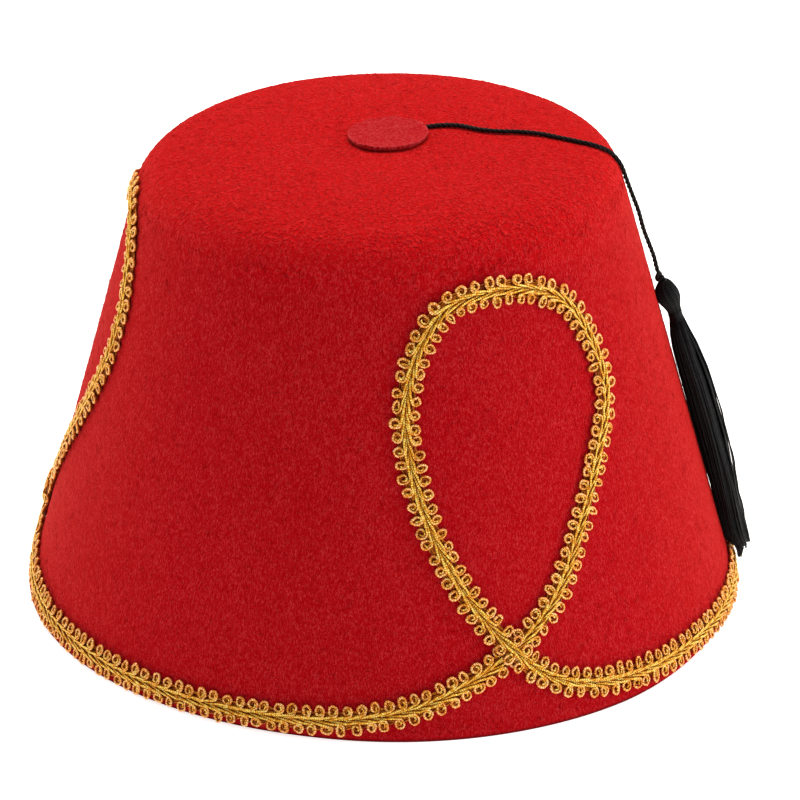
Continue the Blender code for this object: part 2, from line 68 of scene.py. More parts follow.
# The soft rim isn't quite round
RIM_GIVE = (
    # towards this turn, cosine at which it begins, out and up, in mm as in all tables
    (64.0, 0.7, 0.0, 1.1),
    (3.0, 0.74, 1.2, 0.0),
    (-106.0, 0.45, 0.9, 0.0),
)
RIM_GIVE_HEIGHT = 26.0 * MM

SIDE_ANGLE = atan2(RIM_RADIUS - TOP_RADIUS, CROWN_HEIGHT)
SHOULDER_SWEEP = pi / 2 - SIDE_ANGLE - TOP_EDGE_SLOPE
SHOULDER_LENGTH = SHOULDER_RADIUS * SHOULDER_SWEEP
CORNER_TANGENT = SHOULDER_RADIUS * tan(SHOULDER_SWEEP / 2)
SIDE_LENGTH = hypot(RIM_RADIUS - TOP_RADIUS, CROWN_HEIGHT) - CORNER_TANGENT
TOP_EDGE_RADIUS = TOP_RADIUS - CORNER_TANGENT * cos(TOP_EDGE_SLOPE)
TOP_EDGE_HEIGHT = CROWN_HEIGHT + CORNER_TANGENT * sin(TOP_EDGE_SLOPE)
TOP_RISE = tan(TOP_EDGE_SLOPE) * TOP_EDGE_RADIUS / TOP_POWER
TOP_BEGINS = SIDE_LENGTH + SHOULDER_LENGTH
LINE_LENGTH = TOP_BEGINS + TOP_EDGE_RADIUS
SHOULDER_CENTRE = (TOP_EDGE_RADIUS - SHOULDER_RADIUS * sin(TOP_EDGE_SLOPE),
                   TOP_EDGE_HEIGHT - SHOULDER_RADIUS * cos(TOP_EDGE_SLOPE))

# Camera: the photograph's view of the hat
VIEW_AZIMUTH = radians(-22.2)
VIEW_ELEVATION = radians(25.01)
VIEW_ROLL = radians(0.62)
VIEW_DISTANCE = 1462.7 * MM
VIEW_TARGET_UP = 48.75 * MM
VIEW_SHIFT = (4.095 * MM, 3.959 * MM)  # of the target, right and up in the image
VIEW_FOCAL_PIXELS = 5332.5
IMAGE_PIXELS = 800
SENSOR = 36.0

# Cord: it leaves the button's channel, bends to the shoulder and hangs down the side
BUTTON_RADIUS = 10.9 * MM
BUTTON_LIFT = 0.4 * MM
BUTTON_OFFSET = 3.5 * MM
BUTTON_OFFSET_TURN = 107.0
CORD_STEP = 0.45 * MM
CORD_IN_BUTTON = 5.0 * MM
CORD_EXIT_TURN = 95.0
CORD_SETTLE = 0.33 * MM  # of the soft cord, towards the felt
CORD_LEVEL = 0.62 * MM - CORD_SETTLE
SETTLE_FROM = 112.0 * MM  # up, where the cord begins to lie on the felt
SETTLE_OVER = 10.0 * MM
CORD_PLIES = 3
CORD_PLY_RADIUS = 0.315 * MM
CORD_PLY_CIRCLE = 0.34 * MM  # radius of the plies' twist
CORD_LAY = 4.3 * MM  # length of one whole twist
CORD_SIDES = 8  # of a ply, and of the knot's yarn
CORD_ROUTE = (
    # turn, up, off
    (94.5, 173.9, 1.02), (89.4, 170.2, 1.05), (84.5, 167.8, 1.05), (79.8, 165.8, 1.05),
    (75.9, 163.2, 1.05), (73.3, 159.3, 1.05), (72.6, 155.2, 1.05), (71.8, 151.2, 1.05),
    (70.4, 147.1, 1.05), (68.7, 143.1, 1.05), (67.8, 139.1, 1.05), (67.3, 135.1, 1.05),
    (67.8, 132.1, 1.05), (68.9, 129.1, 1.05), (69.2, 126.1, 1.05), (69.3, 123.4, 1.08),
    (69.4, 119.6, 1.2), (69.5, 115.2, 1.35), (69.5, 110.4, 1.65), (69.5, 105.2, 1.62),
    (69.5, 100.6, 2.0), (69.5, 96.8, 2.3), (69.5, 92.2, 2.25),
)
# The cord's end inside the tassel: through the head and neck and on among the strands
CORD_IN_TASSEL = (
    # turn, up, off
    (69.5, 89.0, 2.9), (69.5, 84.0, 3.2), (69.5, 77.6, 3.7), (69.5, 70.0, 4.0),
    (69.5, 62.0, 4.3),
)

HANG_TURN = 69.5
KNOT_UP = 90.6 * MM
KNOT_OFF = 2.3 * MM

# Gold braid
BRAID_ROUTE = (
    # turn, up
    (-60.0, 4.35), (-44.0, 4.45), (-29.0, 5.4), (-17.5, 8.6), (-8.5, 14.2), (0.0, 21.4),
    (8.7, 33.0), (15.7, 49.0), (21.8, 63.5), (27.4, 77.0), (28.6, 86.0), (26.8, 96.5),
    (22.0, 107.4), (13.6, 113.6), (3.4, 115.4), (-6.7, 113.2), (-13.1, 104.0), (-16.4, 91.0),
    (-16.5, 77.5), (-14.5, 63.0), (-11.4, 50.0), (-6.4, 35.0), (0.0, 21.4), (6.0, 12.6),
    (14.0, 7.9), (26.0, 5.7), (43.0, 4.7),
)
LOOP_NAMES = ("front", "right", "left")
BRAID_LOOPS = len(LOOP_NAMES)
TALL_LOOP = 2  # on the hat's left, up to the shoulder
TALL_LOOP_ROWS = (
    # row of BRAID_ROUTE, its turn and up in the tall loop
    (6, 6.8, 33.0), (7, 14.9, 49.0), (9, 26.7, 77.0), (10, 28.7, 86.5), (11, 28.6, 99.0),
    (12, 24.0, 113.6), (13, 14.6, 122.6), (14, 3.4, 119.8), (15, -6.9, 115.2),
    (16, -14.0, 105.8), (17, -17.2, 92.5), (18, -17.0, 78.3),
)
BRAID_PARTS = 16  # samples between two points of the route
FOOT_OVER = 22  # row of BRAID_ROUTE that passes over the loop's foot
OVER_LIFTS = (1.0 * MM, 1.0 * MM, 1.2 * MM)  # at the front, right and left loop's foot
GROUND_LIFT = 0.85  # of the lift, for the dull threads beneath
FILL_REACH = 8.5 * MM  # each way from a foot, of the threads that fill the gap
OVER_FLAT = 3.0 * MM
OVER_RAMP = 3.0 * MM
HEADING_STEP = 0.8 * MM  # over which the braid's way along is read

RING_PITCH = 3.7 * MM
RING_RADIUS = 1.22 * MM  # of the yarn's middle line
RING_CENTRE = 2.36 * MM  # from the braid's middle
ROW_STAGGER = 0.45  # of a pitch, between the two rows
YARN_RADIUS = 0.36 * MM
YARN_STATIONS = 42
YARN_SIDES = 6


# ---- the crown's surface

def smooth_step(share):
    share = np.clip(share, 0.0, 1.0)
    return share * share * (3.0 - 2.0 * share)


def turn_direction(turn):
    """Level directions away from the axis, at turns in degrees."""
    angle = np.radians(turn)
    return np.stack([np.sin(angle), -np.cos(angle), np.zeros_like(angle)], axis=-1)


def top_height(radius):
    share = radius / TOP_EDGE_RADIUS
    dome = TOP_RISE * (1.0 - share ** TOP_POWER)
    return TOP_EDGE_HEIGHT + dome - TOP_DIP * (1.0 - share ** 2) ** 2


def outer_line(up):
    """Radius and height on the crown's outer line, at distances up it."""
    up = np.asarray(up, dtype=float)
    angle = SIDE_ANGLE + np.clip(up - SIDE_LENGTH, 0.0, SHOULDER_LENGTH) / SHOULDER_RADIUS
    in_radius = np.clip(LINE_LENGTH - up, 0.0, TOP_EDGE_RADIUS)
    on_side = up <= SIDE_LENGTH
    on_top = up > TOP_BEGINS
    radius = np.where(on_top, in_radius, SHOULDER_CENTRE[0] + SHOULDER_RADIUS * np.cos(angle))
    height = np.where(on_top, top_height(in_radius),
                      SHOULDER_CENTRE[1] + SHOULDER_RADIUS * np.sin(angle))
    return (np.where(on_side, RIM_RADIUS - up * sin(SIDE_ANGLE), radius),
            np.where(on_side, up * cos(SIDE_ANGLE), height))


def lean(points):
    """Tip and shift the top, and let the rim give a little."""
    share = points[..., 2:] / CROWN_HEIGHT
    towards = turn_direction(LEAN_TURN)
    rise = tan(radians(LEAN_TILT)) * (points @ towards)[..., None]
    leant = points - towards * (LEAN_SHIFT * share) + UPWARD * (rise * share)
    near = np.clip(1.0 - points[..., 2:] / RIM_GIVE_HEIGHT, 0.0, 1.0) ** 2
    for turn, begins, out, up in RIM_GIVE:
        way = turn_direction(turn)
        beside = (points @ way / np.linalg.norm(points, axis=-1))[..., None]
        give = smooth_step((beside - begins) / (1.0 - begins)) * near * MM
        leant = leant + (way * out + UPWARD * up) * give
    return leant


def on_crown(turn, up, off=0.0):
    """Places `off` the outer surface."""
    turn, up, off = np.broadcast_arrays(*(np.asarray(value, float) for value in (turn, up, off)))
    radius, height = outer_line(up)
    radius_after, height_after = outer_line(up + SLOPE_STEP)
    inward = radius - radius_after
    rise = height_after - height
    step = np.hypot(inward, rise)
    points = turn_direction(turn) * (radius + off * rise / step)[..., None]
    points[..., 2] = height + off * inward / step
    return lean(points)


# ---- mesh helpers

def linked(name, data):
    made = bpy.data.objects.new(name, data)
    bpy.context.scene.collection.objects.link(made)
    return made


def add_piece(name, groups, finish, replaces):
    """A smooth mesh object that rides on the hat and stands for a node of the model.

    A group is points, a list of face arrays, and for yarn each point's place in its
    wrapping, as (share round the yarn, mm along it), or else None.
    """
    points = np.concatenate([group[0].reshape(-1, 3) for group in groups])
    faces = {}
    count = 0
    for group in groups:
        for face in group[1]:
            faces.setdefault(face.shape[1], []).append(face + count)
        count += group[0].size // 3
    faces = [np.concatenate(face) for face in faces.values()]
    mesh = bpy.data.meshes.new(name)
    corners = np.concatenate([face.ravel() for face in faces]).astype(np.int32)
    sizes = np.concatenate([np.full(len(face), face.shape[1]) for face in faces])
    mesh.vertices.add(len(points))
    mesh.vertices.foreach_set("co", points.astype(np.float32).ravel())
    mesh.loops.add(len(corners))
    mesh.loops.foreach_set("vertex_index", corners)
    mesh.polygons.add(len(sizes))
    mesh.polygons.foreach_set("loop_start", (np.cumsum(sizes) - sizes).astype(np.int32))
    if groups[0][2] is not None:
        thread = np.concatenate([group[2] for group in groups])
        layer = mesh.uv_layers.new(name="thread")
        layer.data.foreach_set("uv", thread[corners].astype(np.float32).ravel())
    mesh.update(calc_edges=True)
    mesh.validate()
    mesh.shade_smooth()
    mesh.materials.append(finish)
    piece = linked(name, mesh)
    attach(piece, BODY)
    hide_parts(replaces)
    return piece


def unit(vectors):
    return vectors / np.maximum(np.linalg.norm(vectors, axis=-1, keepdims=True), 1e-12)


def reach_along(points):
    """Distance from the start, at each station of one line or of many."""
    steps = np.linalg.norm(np.diff(points, axis=-2), axis=-1)
    return np.concatenate([np.zeros(steps.shape[:-1] + (1,)), np.cumsum(steps, axis=-1)], axis=-1)


def transported_frames(centres, first):
    """Two crossing directions at each station of many lines, carried along without twist."""
    along = unit(np.gradient(centres, axis=1))
    aside = np.empty_like(centres)
    carried = first
    for station in range(centres.shape[1]):
        ahead = along[:, station]
        carried = unit(carried - ahead * np.sum(carried * ahead, axis=-1, keepdims=True))
        aside[:, station] = carried
    return aside, np.cross(along, aside)


def tubes(centres, radii, sides, first):
    """Closed tubes round many middle lines (lines, stations, 3), as one group for add_piece().

    The corners are counted from the direction that first gives.
    """
    lines, stations = centres.shape[:2]
    aside, over = transported_frames(centres, np.broadcast_to(first, (lines, 3)))
    corner = np.arange(sides)
    angle = corner * (tau / sides)
    ring = (aside[:, :, None] * np.cos(angle)[:, None]
            + over[:, :, None] * np.sin(angle)[:, None])
    radii = np.broadcast_to(radii, (lines, stations))
    points = centres[:, :, None] + ring * radii[..., None, None]
    thread = np.empty(points.shape[:3] + (2,))
    thread[..., 0] = 1.0 - np.abs(2.0 * corner / sides - 1.0)
    thread[..., 1] = (reach_along(centres) / MM)[:, :, None]

    starts = np.arange(lines)[:, None] * stations * sides
    base = starts[:, :, None] + np.arange(stations - 1)[:, None] * sides
    side, beside = corner, (corner + 1) % sides
    walls = np.stack([base + side, base + beside, base + sides + beside, base + sides + side],
                     axis=-1)
    near = starts + corner[::-1]
    far = starts + (stations - 1) * sides + corner
    return points, [walls.reshape(-1, 4), near, far], thread.reshape(-1, 2)


def rounded_edge(radius):
    """How far a rounded edge draws in from each of the two faces that it joins."""
    return [(radius * (1 - sin(a)), radius * (1 - cos(a))) for a in np.linspace(0.0, pi / 2, 5)]


def ringed_faces(rows, columns):
    """Faces of a closed form whose points run in rings, from one middle to the other."""
    row = np.arange(rows - 1)[:, None] * columns
    column = np.arange(columns)[None]
    beside = (column + 1) % columns
    walls = np.stack([row + column, row + columns + column, row + columns + beside, row + beside],
                     axis=-1)
    return [walls.reshape(-1, 4), column, (rows - 1) * columns + column[:, ::-1]]


def curve_between(before, start, end, after, share):
    """Places on the smooth curve through four knots, a share of the way from start to end."""
    return 0.5 * (2.0 * start + (end - before) * share
                  + (2.0 * before - 5.0 * start + 4.0 * end - after) * share ** 2
                  + (3.0 * start - before - 3.0 * end + after) * share ** 3)


def smooth_lines(knots, stations):
    """Points on the smooth curves through the knots of many open lines (lines, knots, 3)."""
    rows = np.concatenate([2 * knots[:, :1] - knots[:, 1:2], knots,
                           2 * knots[:, -1:] - knots[:, -2:-1]], axis=1)
    spans = knots.shape[1] - 1
    place = np.linspace(0.0, spans, stations)
    index = np.minimum(place.astype(int), spans - 1)
    return curve_between(*(rows[:, index + step] for step in range(4)),
                         (place - index)[:, None])


def even_line(knots, step):
    """Evenly spaced points on the smooth curve through one line's knots."""
    dense = smooth_lines(knots[None], (len(knots) - 1) * 40)[0]
    reach = reach_along(dense)
    places = np.linspace(0.0, reach[-1], max(int(round(reach[-1] / step)), 2) + 1)
    return np.stack([np.interp(places, reach, dense[:, axis]) for axis in range(3)], axis=-1)


# ---- materials

class Finish:
    """A material and short ways to add its nodes."""

    def __init__(self, name):
        self.material = bpy.data.materials.new(name)
        self.material.use_nodes = True
        self.tree = self.material.node_tree
        self.shader = self.tree.nodes["Principled BSDF"]
        self.place = self.add("TexCoord")["Object"]

    def add(self, kind, inputs=None, **settings):
        """Outputs of a new node."""
        made = self.tree.nodes.new("ShaderNode" + kind)
        for setting, value in settings.items():
            setattr(made, setting, value)
        for socket, value in (inputs or {}).items():
            self.feed(made.inputs[socket], value)
        return made.outputs

    def feed(self, socket, value):
        if isinstance(value, bpy.types.NodeSocket):
            self.tree.links.new(value, socket)
        elif socket.type == "RGBA":
            socket.default_value = (*value, 1.0)
        else:
            socket.default_value = value

    def surface(self, **sockets):
        """The material, once its shader's sockets are fed."""
        for socket, value in sockets.items():
            self.feed(self.shader.inputs[socket.replace("_", " ")], value)
        return self.material

    def math(self, operation, *values):
        return self.add("Math", dict(enumerate(values)), operation=operation)[0]

    def plus(self, first, second):
        return self.math("ADD", first, second)

    def times(self, first, second):
        return self.math("MULTIPLY", first, second)

    def mix(self, share, first, second):
        return self.add("Mix", {0: share, 6: first, 7: second}, data_type="RGBA")[2]

    def spread(self, value, low, high, to_low=0.0, to_high=1.0):
        return self.add("MapRange", {"Value": value, "From Min": low, "From Max": high,
                                     "To Min": to_low, "To Max": to_high})[0]

    def noise(self, scale, detail=2.0, roughness=0.5, distortion=0.0, place=None):
        return self.add("TexNoise", {
            "Vector": place or self.place, "Scale": scale, "Detail": detail,
            "Roughness": roughness, "Distortion": distortion})["Fac"]

    def bump(self, height, distance, strength, **before):
        return self.add("Bump", {"Height": height, "Distance": distance,
                                 "Strength": strength, **before})[0]

    def wrapping(self, pitch, slope):
        """Share round the yarn, mm along it, and ribs from -1 to 1 that wind round it.

        pitch is mm from rib to rib, and slope the radians that a rib turns from side to side.
        """
        uv = self.add("UVMap", uv_map="thread")[0]
        round_yarn, along = self.add("SeparateXYZ", {0: uv})[:2]
        turns = self.math("MULTIPLY_ADD", along, tau / pitch, self.times(round_yarn, slope))
        return round_yarn, along, self.spread(self.math("SINE", turns), -1.0, 1.0)


# Scales of the felt's noises, per metre
FIBRE_SCALE = 2500.0
PIT_SCALE = 2400.0
LUMP_SCALE = 1050.0
TUFT_SCALE = 330.0
CLOUD_SCALE = 38.0
FIBRE_STRETCH = 0.24  # of the fibres' noise, along them
FIBRE_TURNS = (
    (0.3, 0.2, 0.0), (1.3, 0.4, 0.5), (0.4, 1.4, 1.1), (1.9, 0.7, 2.1), (0.9, 2.3, 0.4),
    (2.6, 1.1, 1.7),
)
FELT_MIDDLE = 0.42  # tone of the felt's middle colour
FELT_BRIGHT = 0.95  # tone of its brightest fibres
SIDE_CONTRAST = 1.15  # of the fibres' tone
TOP_CONTRAST = 3.2  # the same, for the rougher felt on top
ROUGH_AND_LIT_HEIGHTS = (112.0 * MM, 126.0 * MM)  # between which the felt turns rougher, and the painted light on top comes in
SIDE_LUMPS = 0.06  # how far the lumps change the tone
TOP_LUMPS = 1.2  # the same on top, over the side's
TOP_PAINTED_LIGHT = 0.42  # how far the felt on top is coloured brighter, as painted light from above
# The brighter colour that the painted light on top brings the felt to
TOP_LIT_COLOUR = (0.85, 0.005, 0.009)
# Painted shade: the felt is coloured darker at the bottom of the rim, where its cut edge lies in
# shade
RIM_SHADE_HEIGHTS = (0.2 * MM, 1.1 * MM)  # between which the painted shade at the rim fades out
RIM_SHADE_COLOUR = (0.1, 0.0015, 0.003)
EDGE_HIGHLIGHT_WIDTHS = (0.7 * MM, 0.2 * MM)  # from a disc's edge, where its painted highlight begins and is full
# how far the painted highlight along a disc's rim lifts the tone
EDGE_HIGHLIGHT = 0.4


def felt_finish(name, dark, middle, bright, sheen_tint, rough_and_lit, edge=None):
    """Pressed felt: short pale fibres lie in every direction over deep red ones.

    rough_and_lit is how much coarser the felt is on top, and how far its painted light on top
    reaches; edge is the middle and radius of a disc whose rim gets a painted highlight.
    """
    felt = Finish(name)
    fibres = None
    for turned in FIBRE_TURNS:
        laid = felt.add("Mapping", {"Vector": felt.place, "Rotation": turned,
                                    "Scale": (1.0, 1.0, FIBRE_STRETCH)})[0]
        streaks = felt.noise(FIBRE_SCALE, 1.0, 0.6, 0.35, laid)
        fibres = streaks if fibres is None else felt.math("MAXIMUM", fibres, streaks)
    pits = felt.spread(felt.noise(PIT_SCALE, roughness=0.6), 0.3, 0.62, 0.55, 1.15)
    lumps = felt.spread(felt.noise(LUMP_SCALE, 1.0, distortion=0.6), 0.3, 0.7, -1.0, 1.0)
    tufts = felt.noise(TUFT_SCALE)
    height = felt.add("SeparateXYZ", {0: felt.place})[2]
    on_top = felt.spread(height, *ROUGH_AND_LIT_HEIGHTS, 0.0, rough_and_lit)

    tone = felt.times(felt.spread(fibres, 0.56, 0.76), pits)
    tone = felt.plus(tone, felt.spread(tufts, 0.3, 0.7, -0.07, 0.07))
    tone = felt.plus(tone, felt.spread(felt.noise(CLOUD_SCALE), 0.3, 0.7, -0.04, 0.04))
    contrast = felt.plus(SIDE_CONTRAST, felt.times(on_top, TOP_CONTRAST - SIDE_CONTRAST))
    tone = felt.times(felt.plus(tone, -FELT_MIDDLE), contrast)
    lumpy = felt.plus(SIDE_LUMPS, felt.times(on_top, TOP_LUMPS))
    tone = felt.plus(felt.plus(tone, felt.times(lumps, lumpy)), FELT_MIDDLE)
    # Painted highlight: the tone is lifted along the disc's rim, where its edge catches the light
    if edge is not None:
        centre, radius = edge
        away = felt.add("VectorMath", {0: felt.place, 1: centre}, operation="DISTANCE")["Value"]
        begins, full = (radius - width for width in EDGE_HIGHLIGHT_WIDTHS)
        tone = felt.plus(tone, felt.spread(away, begins, full, 0.0, EDGE_HIGHLIGHT))

    low = felt.mix(felt.spread(tone, 0.0, FELT_MIDDLE), dark, middle)
    colour = felt.mix(felt.spread(tone, FELT_MIDDLE, FELT_BRIGHT), low, bright)
    # Painted light: the felt on top is coloured brighter, as if lit more from above
    colour = felt.mix(felt.times(on_top, TOP_PAINTED_LIGHT), colour, TOP_LIT_COLOUR)
    # Painted shade, darkest at the rim's cut edge
    colour = felt.mix(felt.spread(height, *RIM_SHADE_HEIGHTS), RIM_SHADE_COLOUR, colour)
    soft = felt.bump(tufts, 0.2 * MM, 0.3)
    soft = felt.bump(lumps, 0.26 * MM, felt.times(on_top, 0.8), Normal=soft)
    return felt.surface(Base_Color=colour, Roughness=0.95, Specular_IOR_Level=0.03,
                        Sheen_Weight=0.2, Sheen_Roughness=0.4, Sheen_Tint=sheen_tint,
                        Normal=felt.bump(tone, 0.045 * MM, 0.4 + 0.6 * rough_and_lit, Normal=soft))


RING_BEGINS = (6.0, 8.5)  # mm along a strand, where its ring begins
RING_ENDS = (13.0, 14.5)  # and where it closes
DEEP_TONE = 0.35  # where the gold has its middle colour
SHINE_TONE = 0.85  # where it has its shine


def gold_finish():
    """Yarn wrapped in a narrow metallic strip, with a painted highlight on top, painted shade
    beneath and between its windings, and painted glints.
    """
    gold = Finish("gold_yarn")
    round_yarn, along, ribs = gold.wrapping(0.62, 3.4)
    # Painted glints: random spots along the yarn are coloured brighter and darker
    painted_glints = gold.spread(gold.noise(1100.0), 0.4, 0.58, 0.3, 1.0)
    patch = gold.spread(gold.noise(260.0, 1.0), 0.45, 0.75, 0.0, 0.5)
    # Painted highlight on top of the yarn, fading to painted shade beneath it
    upper = gold.spread(round_yarn, 0.12, 0.62, 1.0, 0.0)
    # The troughs between the windings are coloured darker, as painted shade in the creases
    tone = gold.times(gold.times(gold.spread(ribs, 0.0, 1.0, 0.42, 1.0), painted_glints), upper)
    looped = gold.times(gold.spread(along, *RING_BEGINS), gold.spread(along, *RING_ENDS, 1.0, 0.2))
    middle = gold.mix(looped, (0.88, 0.425, 0.02), (0.97, 0.358, 0.06))
    shine = gold.mix(looped, (1.0, 0.9, 0.25), (1.0, 0.72, 0.36))
    # The dark brown is the painted shade, and the shine colour the painted highlight
    deep = gold.mix(gold.spread(tone, 0.0, DEEP_TONE), (0.36, 0.066, 0.001), middle)
    warm = gold.mix(gold.spread(tone, DEEP_TONE, SHINE_TONE), deep, shine)
    return gold.surface(Base_Color=gold.mix(patch, warm, (0.8, 0.28, 0.02)), Metallic=0.22,
                        Roughness=0.28, Specular_IOR_Level=0.36, Specular_Tint=(1.0, 0.76, 0.36),
                        Normal=gold.bump(ribs, 0.1 * MM, 0.9))


def core_finish():
    """Dull rusty brown thread, which fills the braid between the bright strands."""
    core = Finish("gold_core")
    round_yarn, _, ribs = core.wrapping(0.5, 0.0)
    patch = core.spread(core.noise(700.0), 0.4, 0.62)
    # Painted light and shade: the thread is coloured brighter on top, and darker beneath and in
    # the troughs between its ribs
    tone = core.times(core.spread(round_yarn, 0.05, 0.5, 1.0, 0.0), patch)
    tone = core.times(tone, core.spread(ribs, 0.0, 1.0, 0.6, 1.0))
    return core.surface(Base_Color=core.mix(tone, (0.26, 0.034, 0.003), (0.95, 0.3, 0.02)),
                        Metallic=0.15, Roughness=0.45, Specular_IOR_Level=0.4,
                        Specular_Tint=(1.0, 0.75, 0.4), Normal=core.bump(ribs, 0.06 * MM, 0.8))


def black_finish(name, pitch, slope, roughness, colour, bright):
    """Black rayon yarn with fine slanted filaments."""
    black = Finish(name)
    filaments = black.wrapping(pitch, slope)[2]
    tone = black.times(filaments, black.spread(black.noise(700.0, 3.0), 0.35, 0.7))
    return black.surface(Base_Color=black.mix(tone, colour, bright), Roughness=roughness,
                         Specular_IOR_Level=0.13, Normal=black.bump(filaments, 0.05 * MM, 0.8))


# ---- camera

def make_camera():
    facing = (Matrix.Rotation(VIEW_AZIMUTH, 4, "Z")
              @ Matrix.Rotation(pi / 2 - VIEW_ELEVATION, 4, "X"))
    level, upward, back = (column.xyz for column in facing.col[:3])
    target = Vector((0.0, 0.0, VIEW_TARGET_UP)) + level * VIEW_SHIFT[0] + upward * VIEW_SHIFT[1]
    data = bpy.data.cameras.new("camera")
    data.sensor_width = SENSOR
    data.lens = SENSOR * VIEW_FOCAL_PIXELS / IMAGE_PIXELS
    camera = linked("camera", data)
    camera.matrix_world = (Matrix.Translation(target + back * VIEW_DISTANCE) @ facing
                           @ Matrix.Rotation(VIEW_ROLL, 4, "Z"))
    bpy.context.scene.camera = camera


# ---- cord and knot

def button_frame():
    """Middle of the button's underside, its upright, and the cord's way out."""
    def top_place(offset):
        return lean(turn_direction(BUTTON_OFFSET_TURN) * offset + UPWARD * top_height(offset))

    middle = top_place(BUTTON_OFFSET)
    outward = top_place(BUTTON_OFFSET + SLOPE_STEP) - middle
    sideways = turn_direction(BUTTON_OFFSET_TURN + 90.0)
    sideways = lean(middle + sideways * SLOPE_STEP) - lean(middle)
    upright = unit(np.cross(outward, sideways))
    ahead = turn_direction(CORD_EXIT_TURN)
    ahead = unit(ahead - upright * (ahead @ upright))
    return middle + upright * BUTTON_LIFT, upright, ahead


BUTTON_BASE, BUTTON_UPRIGHT, BUTTON_AHEAD = button_frame()


def cord_place(reach):
    """A place on the cord's way out of the button, at a reach from its middle."""
    return BUTTON_BASE + BUTTON_UPRIGHT * CORD_LEVEL + BUTTON_AHEAD * reach


def make_cord(finish):
    knots = [cord_place(BUTTON_RADIUS - CORD_IN_BUTTON), cord_place(BUTTON_RADIUS)]
    for turn, up, off in CORD_ROUTE:
        settled = CORD_SETTLE * smooth_step((up * MM - SETTLE_FROM) / SETTLE_OVER)
        knots.append(on_crown(turn, up * MM, off * MM - settled))
    knots += [on_crown(turn, up * MM, off * MM) for turn, up, off in CORD_IN_TASSEL]
    line = even_line(np.array(knots), CORD_STEP)

    aside, over = transported_frames(line[None], UPWARD[None])
    starts = tau * np.arange(CORD_PLIES) / CORD_PLIES
    turns = (tau * (reach_along(line) / CORD_LAY) + starts[:, None])[..., None]
    plies = (line + aside * np.cos(turns) * CORD_PLY_CIRCLE
             + over * np.sin(turns) * CORD_PLY_CIRCLE)
    wound = tubes(plies, CORD_PLY_RADIUS, CORD_SIDES, UPWARD)
    return add_piece("twisted_cord", [wound], finish, "cord"), line


# Down the slope, round the hat and off the felt, where the tassel hangs
HANG_PLACE = on_crown(HANG_TURN, KNOT_UP)
HANG_DOWN = unit(on_crown(HANG_TURN, KNOT_UP - SLOPE_STEP) - HANG_PLACE)
HANG_AROUND = unit(on_crown(HANG_TURN + 0.5, KNOT_UP) - on_crown(HANG_TURN - 0.5, KNOT_UP))
HANG_OUTWARD = unit(on_crown(HANG_TURN, KNOT_UP, MM) - HANG_PLACE)

KNOT_YARN = 0.5 * MM
KNOT_STATIONS = 61
# Sizes of the knot's waves off the felt, down and round
KNOT_DEPTH = 0.3186 * MM
KNOT_LENGTH = 0.3658 * MM
KNOT_WIDTH = 0.4956 * MM


def make_knot(finish):
    """A small overhand knot, pulled tight just above the tassel's head."""
    angle = np.linspace(0.0, tau, KNOT_STATIONS)[:, None]
    line = (on_crown(HANG_TURN, KNOT_UP, KNOT_OFF)
            + HANG_OUTWARD * (np.sin(angle) + 2.0 * np.sin(2.0 * angle)) * KNOT_DEPTH
            + HANG_DOWN * (np.cos(angle) - 2.0 * np.cos(2.0 * angle)) * KNOT_LENGTH
            - HANG_AROUND * np.sin(3.0 * angle) * KNOT_WIDTH)
    tied = tubes(line[None], KNOT_YARN, CORD_SIDES, HANG_OUTWARD)
    return add_piece("tied_knot", [tied], finish, "cord_knot")


# ---- tassel

# The head leans: its middle moves off the felt on its way down to the wound neck
HEAD_PROFILE = np.array((
    # up, off, radius
    (89.7, 3.05, 0.35), (89.3, 3.05, 1.15), (88.4, 3.0, 1.85), (87.3, 2.9, 2.5),
    (86.3, 2.95, 2.85), (85.3, 3.05, 2.98), (84.3, 3.15, 2.96), (83.4, 3.3, 2.8),
    (82.6, 3.42, 2.52), (81.7, 3.54, 2.18), (80.8, 3.62, 1.9), (80.0, 3.65, 1.72),
    (77.0, 3.72, 1.66),
)) * MM
HEAD_YARNS = 40
HEAD_YARN_THICK = (0.08 * MM, 0.3 * MM)  # least and most of a yarn's radius
HEAD_YARN_FULL = 1.15  # of half the room that each yarn has
HEAD_YARN_END = 78.0 * MM
HEAD_TWIST = 0.5  # radians that the head's yarns turn from top to neck
HEAD_STATIONS = 26
HEAD_CORE = 0.95  # of the head's radius, beneath its yarns
HEAD_SIDES = 24
WINDING_TURNS = 5
WINDING_PARTS = 22  # stations in one turn
WINDING_RADIUS = 0.3 * MM
WINDING_SIDES = 7
WINDING_FROM = 80.1 * MM
WINDING_TO = 77.3 * MM

SKIRT_ROUTE = np.array((
    # up, wall side, outer side, half width
    (78.6, 2.0, 5.45, 1.6), (76.8, 1.75, 5.7, 1.9), (74.0, 0.95, 6.3, 2.5),
    (70.0, 0.45, 7.3, 3.2), (66.0, 0.4, 7.75, 3.7), (62.7, 0.38, 8.3, 4.1),
    (58.0, 0.38, 8.6, 4.4), (47.0, 0.38, 8.85, 4.8), (36.8, 0.42, 8.65, 4.9),
    (29.5, 0.45, 8.2, 4.7), (22.0, 0.42, 7.45, 4.4), (18.5, 0.2, 7.2, 4.3),
    (14.6, 0.0, 7.05, 4.1), (10.8, 0.05, 7.0, 3.8), (7.4, 1.95, 6.8, 3.0),
    (3.9, 2.0, 3.6, 1.9),
)) * MM
